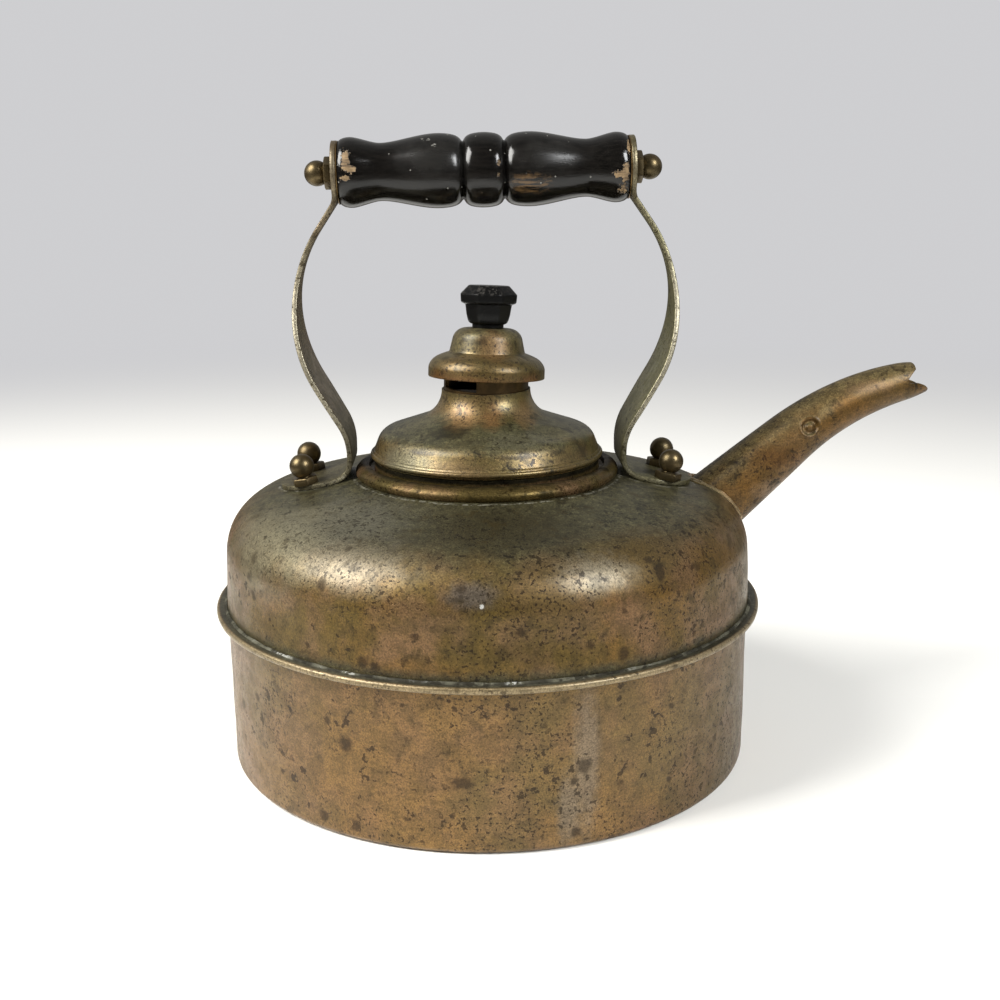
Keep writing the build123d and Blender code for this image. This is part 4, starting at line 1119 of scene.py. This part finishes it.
# %% Spout copper
def mark_normals(made):
    """Stores how far each point faces up (-1 to 1) and sideways along Y (0 to 1)."""
    mesh = made.data
    normals = np.empty(len(mesh.vertices) * 3, np.float32)
    mesh.vertices.foreach_get("normal", normals)
    normals = normals.reshape(-1, 3)
    for name, values in (("upward", normals[:, 2]), ("sideways", np.abs(normals[:, 1]))):
        mesh.attributes.new(name, "FLOAT", "POINT").data.foreach_set("value", values.copy())


def spout_film_and_sheen(r):
    """Lighter olive on the upper side of the spout, thinning towards its flank: partly film, partly a
    painted sheen of the light from above.
    """
    upward = r.math("ADD", r.stored("upward"), r.drift(0.7, 7.0, 5.0, 0.65))
    return r.times(r.ease(upward, 0.20, 0.85), 0.75)


spout_copper = tarnish(
    "spout_copper", (0.128, 0.065, 0.014), (0.088, 0.055, 0.014), (0.128, 0.102, 0.044), spout_film_and_sheen,
    pits=1.35, blots=1.0, rosy=(0.155, 0.088, 0.036), dull=(0.42, 0.55), stains=1.6, coat=0.24,
    marks=((140.5, 5.0, 137.6, 1.6), (158.0, 7.0, 142.0, 1.8), (128, 3.5, 124, 2.2)),
    # The first two tints, lighter and yellowish on the upper front flank, are a painted highlight
    # streak.
    tints=((131.5, 2.0, 130.5, 4.2, 6, 4.2, 0.20, 0.150, 0.066),
           (150, 6, 138, 10, 9, 3.0, 0.145, 0.090, 0.042),
           (116, 0, 99, 10, 9, 4.0, 0.190, 0.125, 0.072),
           (114, 0, 112, 12, 9, 4.0, 0.090, 0.042, 0.010)))
mark_normals(piece("spout_tube", [(np.concatenate([skin, rim, lining]), True, True)], "kettle",
                   spout_copper, ["spout"]))

# %% [markdown]
# ## Solder line at the spout's root
# The spout stands in a narrow raised welt of solder. Its path is the line where
# the tube leaves the dome, found above; a small round section is carried along
# it, its radius varied so that it looks run and not moulded.

# %% Solder line at the root
def bead_along(path, radius, sides=10):
    """Closed tube round a closed path: an axis of its section is the run crossed with straight up."""
    run = np.roll(path, -1, 0) - np.roll(path, 1, 0)
    run /= np.linalg.norm(run, axis=1)[:, None]
    side = np.cross(run, (0.0, 0.0, 1.0))
    side /= np.linalg.norm(side, axis=1)[:, None]
    over = np.cross(side, run)
    turn = np.linspace(0, 2 * np.pi, sides, endpoint=False)[:, None, None]
    return path + radius[:, None] * (np.cos(turn) * side + np.sin(turn) * over)


def root_bead(outward, clear, radius):
    """Bead along the line where a tube that much wider than the spout leaves the dome."""
    return bead_along(spout_point(root_of(fine, -outward, clear), fine, -outward), radius), True, True


fine = np.linspace(0, 2 * np.pi, 360, endpoint=False)
beads = [root_bead(0.55, 0.15, 0.78 + 0.12 * np.sin(7 * fine + 1) + 0.08 * np.sin(19 * fine)),
         root_bead(1.75, 0.05, 0.55 + 0.08 * np.sin(9 * fine + 2) + 0.05 * np.sin(23 * fine))]
root_solder = tarnish(
    "root_solder", (0.31, 0.235, 0.12), (0.22, 0.185, 0.10), FILM, pits=0.6, blots=0.2,
    rosy=(0.270, 0.140, 0.060), dull=(0.35, 0.5))
piece("spout_root_welt", beads, "kettle", root_solder, ["spout_flange"])

# %% [markdown]
# ## Straps
# Each strap is one ribbon of brass: a round eye at the grip, a narrow neck, a
# broad bow, and a round foot that is dressed down onto the dome. Seen from the
# side it is a path of lines and arcs; seen from the front it has a width at each
# height. A rounded flat section is carried along the path and stretched to that
# width, and at the two ends the width follows a circle and so closes by itself.

# %% Straps
GRIP_Z, GRIP_HALF, STRAP = 221.0, 53.1, 1.9
EYE_R, EYE_FACE, BOW_X = 11.5, GRIP_HALF + 0.5 + STRAP, 82.0
BOW_Z = RING_FOOT + 0.579 * (GRIP_Z - RING_FOOT)
FOOT_X, FOOT_HALF, PAD_X, PAD_R = 52.9, 13.0, 63.8, 16.0
BAIL_TILT, BAIL_BACK, BAIL_SWING = math.radians(0.75), 3.5, math.radians(1.0)


def softened(corners, radii, step=0.8):
    """Path through corners, each rounded by an arc tangent to both its runs."""
    corners = [np.array(c, float) for c in corners]
    parts = [corners[0]]
    for before, here, after, radius in zip(corners, corners[1:], corners[2:], radii):
        a, b = before - here, after - here
        a, b = a / np.linalg.norm(a), b / np.linalg.norm(b)
        half = math.acos(float(np.clip(a @ b, -1, 1))) / 2
        centre = here + (a + b) / np.linalg.norm(a + b) * radius / math.sin(half)
        first, last = here + a * radius / math.tan(half), here + b * radius / math.tan(half)
        f, l = first - centre, last - centre
        start, sweep = math.atan2(f[1], f[0]), math.atan2(f[0] * l[1] - f[1] * l[0], f @ l)
        turn = start + sweep * np.linspace(0, 1, max(4, int(abs(sweep) * radius / step) + 2))
        parts.append(centre + radius * np.stack([np.cos(turn), np.sin(turn)], 1))
    return run_through(*parts, corners[-1], step=step)


def smooth_curve(at, knots, values):
    """Natural cubic through the knots, solved for its second derivatives."""
    knots, values = np.array(knots, float), np.array(values, float)
    gap = np.diff(knots)
    n = len(knots)
    system, right_side = np.eye(n), np.zeros(n)
    inner = np.arange(1, n - 1)
    system[inner, inner - 1], system[inner, inner + 1] = gap[:-1], gap[1:]
    system[inner, inner] = 2 * (gap[:-1] + gap[1:])
    right_side[inner] = 6 * (np.diff(values[1:]) / gap[1:] - np.diff(values[:-1]) / gap[:-1])
    bend = np.linalg.solve(system, right_side)
    k = np.clip(np.searchsorted(knots, at) - 1, 0, n - 2)
    g, t = gap[k], np.clip(at, knots[0], knots[-1]) - knots[k]
    slope = (values[k + 1] - values[k]) / g - g * (2 * bend[k] + bend[k + 1]) / 6
    return values[k] + t * (slope + t * (bend[k] / 2 + t * (bend[k + 1] - bend[k]) / (6 * g)))


# %% [markdown]
# ## Strap ribbon
# The section is a flat bar with rounded corners. It could be extruded along a
# curve, but its width changes all the way; here each row of the grid scales the
# corners apart by its own width, and the foot is pressed onto the cone.

# %% Strap ribbon
def flat_section(flats=7, corner=4):
    """Rounded flat bar as (side, corner x, corner y, level): a loop of unit numbers scaled later."""
    across, turn = np.linspace(-1, 1, flats), np.radians(np.linspace(0, 90, corner))
    sin, cos = np.sin(turn), np.cos(turn)
    sides = [(across, 0, -1, 0), (1, sin, -cos, 0), (1, cos, sin, 1), (across[::-1], 0, 1, 1),
             (-1, -sin, cos, 1), (-1, -cos, -sin, 0)]
    loop = [np.stack(np.broadcast_arrays(*side), 1) for side in sides]
    return np.vstack([loop[0], *(part[1:] for part in loop[1:-1]), loop[-1][1:-1]])


def strap_path(side):
    """Side view of a strap, down from the grip, out, in and along the cone; and its eye's middle."""
    c, s = math.cos(side * BAIL_TILT), math.sin(side * BAIL_TILT)

    def tilted(x, z):
        return x * c - (z - GRIP_Z) * s, GRIP_Z + x * s + (z - GRIP_Z) * c

    def on_cone(x):
        return x, crown_height(x) + STRAP / math.cos(CROWN_SLOPE)

    path = softened(
        [tilted(EYE_FACE, GRIP_Z + EYE_R), tilted(EYE_FACE, GRIP_Z - 9.3), tilted(BOW_X, BOW_Z),
         (FOOT_X, RING_FOOT + 15.4), on_cone(FOOT_X), on_cone(PAD_X + PAD_R)],
        [6.0, 0.481 * (GRIP_Z - RING_FOOT), 22.0, 6.0])
    return path, tilted(EYE_FACE, GRIP_Z)


def strap_width(x, z, eye_z, on_foot):
    """Half-width: a curve over the height, and circles for the eye and for the pad of the foot."""
    knots = [RING_FOOT - 13, RING_FOOT + 6, RING_FOOT + 32, BOW_Z - 11, BOW_Z + 11, GRIP_Z]
    width = smooth_curve(z, knots, [FOOT_HALF, FOOT_HALF, 16.75, 12.3, 5, 5])
    eye = np.sqrt(np.clip(EYE_R ** 2 - (z - eye_z) ** 2, 0, None))
    width = np.where(z > eye_z, eye, np.maximum(width, eye))
    pad = np.sqrt(np.clip(PAD_R ** 2 - (x - PAD_X) ** 2, 0, None))
    width = np.where(on_foot, np.where(x < PAD_X, np.maximum(FOOT_HALF, pad), pad), width)
    return np.maximum(width, 0.02)[:, None]


def strap_grid(side):
    """Ribbon of one side: path point, plus half-width along Y, plus thickness along the normal."""
    path, eye = strap_path(side)
    x, z = path[:, :1], path[:, 1:]
    on_foot = (x > 53.2) & (z < crown_height(FOOT_X) + STRAP / math.cos(CROWN_SLOPE) + 0.4)
    width = strap_width(x[:, 0], z[:, 0], eye[1], on_foot[:, 0])
    run = np.gradient(path, axis=0)
    run /= np.linalg.norm(run, axis=1)[:, None]
    across, corner_y, corner_z, level = flat_section().T
    soft = np.minimum(0.45, width)
    y = across * (width - soft) + corner_y * soft
    depth = level * (STRAP - 2 * soft) + soft + corner_z * soft
    x, z = x + run[:, 1:] * depth, z - run[:, :1] * depth
    settle = np.clip((x - 54.5) / 6.0, 0, 1) * on_foot
    settle = settle * settle * (3 - 2 * settle)
    z = z + settle * (crown_height(np.hypot(x, y + BAIL_BACK)) - crown_height(x))
    return np.stack([side * x, y + BAIL_BACK, z], 2) @ turn_about_z(BAIL_SWING).T


# %% [markdown]
# ## Strap brass
# The straps are brighter than the rest: their narrow sides are rubbed silvery and
# carry a painted sheen, and the lower bend keeps a greenish film deepened by
# painted shade under the bow. The right one is yellower than the left, so each has
# its own three tones.

# %% Strap brass
def strap_film_and_shade(r):
    """Film in clouds all over, and a darker, greener tone on the lower bend and the foot that is partly
    film and partly painted shade under the bow.
    """
    low = r.ease(r.height(), 150.0 * MM, 118.0 * MM)
    cloud = r.ease(r.noise(9.0, 5.0, 0.65), 0.36, 0.66)
    return r.times(r.most(r.times(cloud, 0.6), low), 0.8)


def strap_edge_wear_and_sheen(r):
    """The narrow sides, lighter and silvery at the middle of the bow and dull towards both ends: partly
    rubbed wear, partly a painted sheen of the light.
    """
    height = r.height()
    middle = r.times(r.ease(height, 112.0 * MM, 138.0 * MM, 0.15, 0.9),
                     r.ease(height, 200.0 * MM, 165.0 * MM, 0.25, 1.0))
    return r.times(r.ease(r.stored("sideways"), 0.55, 0.8), middle)


EYE_TONE = (0.085, 0.062, 0.034)
STRAP_TONES = {"right": ((0.184, 0.165, 0.072), (0.138, 0.130, 0.054), (0.152, 0.130, 0.060)),
               "left": ((0.155, 0.112, 0.060), (0.120, 0.096, 0.050), (0.145, 0.096, 0.058))}
for side, word in ((1, "right"), (-1, "left")):
    warm, olive, rosy = STRAP_TONES[word]
    strap_brass = tarnish(
        f"strap_brass_{word}", warm, olive, (0.066, 0.060, 0.030), strap_film_and_shade, pits=0.5, blots=0.3,
        rosy=rosy, dull=(0.34, 0.50), metallic=0.7, stains=0.6, coat=0.15,
        edge=(strap_edge_wear_and_sheen, (0.27, 0.245, 0.18)),
        tints=((54.5, 3.5, 221.0, 5, 16, 15, *EYE_TONE), (-54.5, 3.5, 221.0, 5, 16, 15, *EYE_TONE)))
    mark_normals(piece(f"strap_{word}", [(strap_grid(side), False, True)], "kettle", strap_brass,
                       [f"{word}_bracket"], sharp=50))

# %% [markdown]
# ## Ball nuts
# A ball nut is a turned ball on a hexagon with its corners knocked off. Both are
# turnings, one plain and one six-sided, stood on the dome by a matrix whose
# columns are the nut's own axes. Each foot nut stopped at its own angle.

# %% Ball nuts
BALL_R, BOLT_OUT, BOLT_APART = 4.65, 69.5, 11.8
SWUNG = turn_about_z(BAIL_SWING)


def standing_on(point, normal, turn):
    """Matrix that puts +Z along a normal at a point, turned about it and swung with the bail."""
    n = np.array(normal, float) / np.linalg.norm(normal)
    y = np.cross(n, (0.0, 1.0, 0.0))
    y /= np.linalg.norm(y)
    axes = np.stack([np.cross(y, n), y, n], 1) @ turn_about_z(turn)
    place = np.eye(4)
    place[:3, :3], place[:3, 3] = SWUNG @ axes, SWUNG @ point
    return place


def ball_nut(flats, height, sink, place):
    """Hexagon with chamfered corners, a small neck, and the ball; two closed grids."""
    corner = flats / 2 / math.cos(math.pi / 6)
    rows = [(0, 0, 1), (corner * 0.98, 0, 0), (corner, 0.15, 0), (corner, height - 0.35, 0),
            (corner * 0.98, height - 0.12, .15), (corner * 0.94, height, .3), (2.9, height, 1),
            (2.8, height + 0.35, 1), (0, height + 0.4, 1)]
    a = np.radians(np.linspace(-90, 90, 37))
    ball = np.stack([BALL_R / math.cos(math.pi / 6) * np.cos(a),
                     height + BALL_R - sink + BALL_R * np.sin(a), 1 + 0 * a], 1)
    return [(set_at(faceted(profile, 6, columns, 60.0), place), False, True)
            for profile, columns in ((np.array(rows, float), 96), (ball, 64))]


# %% [markdown]
# ## Nuts of the feet
# Two bolts hold each foot. They stand square on the cone and not upright, so
# their places are worked out on the cone with its normal.

# %% Nuts of the feet
def ball_paint():
    """Dark bronze, smooth and a little glossy, worn golden on top with brown round the foot."""
    r = Recipe("ball_bronze")
    drift = r.ease(r.noise(7.0, 4.0, 0.6), 0.38, 0.65)
    mottle = r.ease(r.noise(2.2, 5.0, 0.65), 0.36, 0.68)
    colour = r.blend(drift, (0.085, 0.065, 0.032), (0.125, 0.092, 0.045))
    colour = r.blend(r.times(mottle, 0.5), colour, (0.058, 0.044, 0.024))
    tiny = r.spots(2.1, 0.3, 0.4, 0.8)
    colour = r.blend(r.times(tiny, 0.6), colour, (0.04, 0.032, 0.02))
    rough = r.level(mottle, 0.32, 0.46)
    return r.finish(colour, rough, 0.88, r.bump(r.noise(1.2, 4.0), 0.03))


def bolt_places(side):
    """The two foot bolts of one side: points on the cone and its normals."""
    x = side * math.sqrt(BOLT_OUT ** 2 - BOLT_APART ** 2)
    for y in (BAIL_BACK - BOLT_APART, BAIL_BACK + BOLT_APART):
        reach = math.hypot(x, y)
        normal = np.array([math.sin(CROWN_SLOPE) * x / reach, math.sin(CROWN_SLOPE) * y / reach,
                           math.cos(CROWN_SLOPE)])
        yield np.array([x, y, crown_height(reach)]) + normal * (STRAP + SOLDER_GAP), normal


ball_bronze = ball_paint()
nuts = []
for (point, normal), stop in zip([*bolt_places(-1), *bolt_places(1)], (14.0, 38.0, 21.0, 5.0)):
    nuts += ball_nut(8.9, 2.8, 0.6, standing_on(point, normal, math.radians(stop)))
piece("foot_nuts", nuts, "kettle", ball_bronze, ["foot_ball_nuts"])


# %% [markdown]
# ## Nuts of the grip
# The rod through the grip carries a ball nut at each end. They lie along the
# grip, so the grip's own frame, tilted and swung, is worked out once and used
# for the nuts and for the wood.

# %% Nuts of the grip
def grip_matrix():
    """The grip's own frame: tilted about Y, moved back and swung with the bail."""
    c, s = math.cos(BAIL_TILT), math.sin(BAIL_TILT)
    place = np.eye(4)
    place[:3, :3] = SWUNG @ np.array([[c, 0, -s], [0, 1, 0], [s, 0, c]])
    place[:3, 3] = SWUNG @ (0, BAIL_BACK, GRIP_Z)
    return place


grip_place = grip_matrix()
end_nuts = []
for side in (-1, 1):
    own = np.eye(4)
    own[:3, :3] = [[0, 0, side], [0, 1, 0], [-side, 0, 0]]
    own[0, 3] = side * (EYE_FACE + SOLDER_GAP)
    end_nuts += ball_nut(10.4, 3.0, 1.9, grip_place @ own)
piece("grip_end_nuts", end_nuts, "kettle", ball_bronze, ["grip_ball_nuts"])

# %% [markdown]
# ## Grip
# The grip is turned from hardwood: a bead in the middle, and on each side a
# groove, a swelling, a waist and a wide end bead. Its outline could be points
# alone; a few curves with given slopes keep the swelling smooth. One half of the
# outline is written and mirrored.

# %% Grip
def hermite(a, b, slope_a, slope_b, count=24):
    """Cubic run from a to b with given end directions."""
    t = np.linspace(0, 1, count)[:, None]
    a, b, da, db = (np.array(v, float) for v in (a, b, slope_a, slope_b))
    return ((2 * t ** 3 - 3 * t ** 2 + 1) * a + (t ** 3 - 2 * t ** 2 + t) * da
            + (3 * t ** 2 - 2 * t ** 3) * b + (t ** 3 - t ** 2) * db)


GRIP_COLUMNS, GRIP_MIDDLE = 128, 13.5
bead_share = np.linspace(0, 1, 10)
bead = np.stack([4.2 * bead_share, GRIP_MIDDLE - (GRIP_MIDDLE - 13.05) * bead_share ** 2], 1)
half_line = run_through(
    bead, hermite((4.2, 13.05), (6.7, 11.7), (2.3, -0.45), (1.9, -2.1), 8)[1:],
    [(7.1, 11.1), (7.4, 10.6), (7.65, 10.4), (7.95, 10.65), (8.4, 11.25), (9.1, 11.9), (10.0, 12.42)],
    hermite((10.0, 12.42), (18, 13.4), (6.0, 2.6), (8.5, -0.3))[1:],
    hermite((18, 13.4), (38, 10.4), (20, -0.9), (16, 0.3), 40)[1:],
    hermite((38, 10.4), (48, 12.6), (8, 0.15), (8, 0.9))[1:],
    hermite((48, 12.6), (GRIP_HALF, 10.8), (5.6, 0.6), (1.2, -4.4))[1:], (GRIP_HALF, 10.3), step=0.9)
outline = np.vstack([(-GRIP_HALF, 0.0), half_line[::-1] * [-1, 1], half_line[1:], (GRIP_HALF, 0.0)])
turn = np.linspace(0, 2 * np.pi, GRIP_COLUMNS, endpoint=False)
along, radius = (np.repeat(outline[:, k, None], GRIP_COLUMNS, 1) for k in (0, 1))
grip_grid = set_at(np.stack([along, radius * np.cos(turn), radius * np.sin(turn)], 2), grip_place)
print("grip outline:", len(outline), "points, from", outline[0, 0], "to", outline[-1, 0])

# %% [markdown]
# ## Grip paint
# The wood is ebonised. The black has worn through at both ends and a little at
# the middle bead, and that wear is painted as ragged patches with crumbled
# edges, over a grain that is stretched along the grip.

# %% Grip paint
RUBBED = ((-19, -9, 225, 12, 9, 6), (24, -9, 226, 12, 9, 5))
BROWN = (17, -9.5, 215.5, 7, 4, 3.5)
BARE = (  # a patch, then how ragged, how soft and how fine its outline is
    (-49.6, -8, 224.5, 1.6, 8, 3.6, 1.2, 0.10, 1.4), (-47.8, -9, 221.5, 1.8, 5, 1.3, 1.3, 0.10, 1.0),
    (-49.8, -10, 218.5, 1.8, 5, 0.9, 1.2, 0.10, 0.9), (51.2, -9, 219.5, 1.3, 8, 3.6, 1.2, 0.10, 1.4),
    (48.6, -10, 219.2, 2.2, 5, 1.3, 1.3, 0.10, 1.0), (50.6, -9, 213.5, 2.0, 6, 1.8, 1.3, 0.10, 1.0),
    (52.4, -5, 229.0, 0.6, 5, 2.6, 1.2, 0.1, 0.8), (5.5, -11, 223.5, 0.8, 3, 1.2, 1.0, 0.2, 0.7),
    (5.2, -12, 219.0, 0.8, 3, 1.6, 1.1, 0.2, 0.7), (5.4, -11, 214.0, 1.0, 3, 0.9, 1.1, 0.2, 0.7),
    (-1.5, -12, 213.0, 3.0, 4, 0.7, 1.1, 0.2, 0.8))
FLECKS = ((-22.5, -7, 232.5, 1.3, 4, 1.0), (-20, -8, 232, 0.9, 4, 0.8), (-18, -9.5, 230.0, 1.5, 3, 0.8))


def grip_paint():
    """Worn black stain on turned wood; the grain runs along the grip."""
    r = Recipe("grip_ebonised")
    stretched = r.node("ShaderNodeMapping", Vector=r.place, Scale=(0.12, 1.0, 1.0)).outputs[0]
    grain = r.noise(1.0, 5.0, 0.65, place=stretched)
    colour = r.blend(r.ease(grain, 0.35, 0.7), (0.0022, 0.002, 0.0018), (0.006, 0.0052, 0.0045))
    rubbed = r.patches(RUBBED, 0.8, 0.6, 5.0)
    colour = r.blend(r.times(rubbed, 0.3), colour, (0.030, 0.029, 0.027))
    brown = r.times(r.patch(BROWN, 0.9, 0.5, 2.5), r.ease(grain, 0.4, 0.6))
    colour = r.blend(brown, colour, (0.085, 0.050, 0.022))
    bare = r.most(*(r.patch(row[:6], *row[6:]) for row in BARE))
    wood = r.blend(r.ease(grain, 0.35, 0.65), (0.070, 0.044, 0.022), (0.235, 0.158, 0.080))
    colour = r.blend(bare, colour, wood)
    flecks = r.most(r.patches(FLECKS, 1.0, 0.2, 0.8), r.spots(2.6, 0.32, 0.16, 1.0))
    colour = r.blend(r.times(flecks, 0.8), colour, (0.24, 0.235, 0.21))
    rough = r.level(r.ease(r.noise(5.0, 5.0, 0.6), 0.35, 0.65), 0.09, 0.17)
    rough = r.level(bare, r.level(r.times(rubbed, 0.6), rough, 0.30), 0.6)
    height = r.math("ADD", r.times(grain, 0.4), r.times(bare, -0.9))
    return r.finish(colour, rough, 0.0, r.bump(height, 0.12), gloss=0.36)


piece("grip_turned", [(grip_grid, False, True)], "kettle", grip_paint(), ["grip"],
      sharp=40)

# %% [markdown]
# ## The working parts that stay as solids
# Rods, studs, washers, the whistle and the lid's inner parts are already exact
# turnings or bent strips, and they are seen only from close by, from below or
# with the lid lifted. They keep their solid shape and get a surface of their own.

# %% Inner parts
STEEL_NODES = ("grip_rod", "vent_spindle", "spring_washer")
inner_brass = plain_metal("inner_brass", (0.155, 0.095, 0.036), (0.085, 0.056, 0.023), 0.40)
dull_steel = plain_metal("dull_steel", (0.26, 0.25, 0.235), (0.15, 0.135, 0.115), 0.38)
solids = [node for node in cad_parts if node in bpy.data.objects]
for node in solids:
    materials = bpy.data.objects[node].data.materials
    materials.clear()
    materials.append(dull_steel if node in STEEL_NODES else inner_brass)
print("solid nodes dressed:", len(solids))
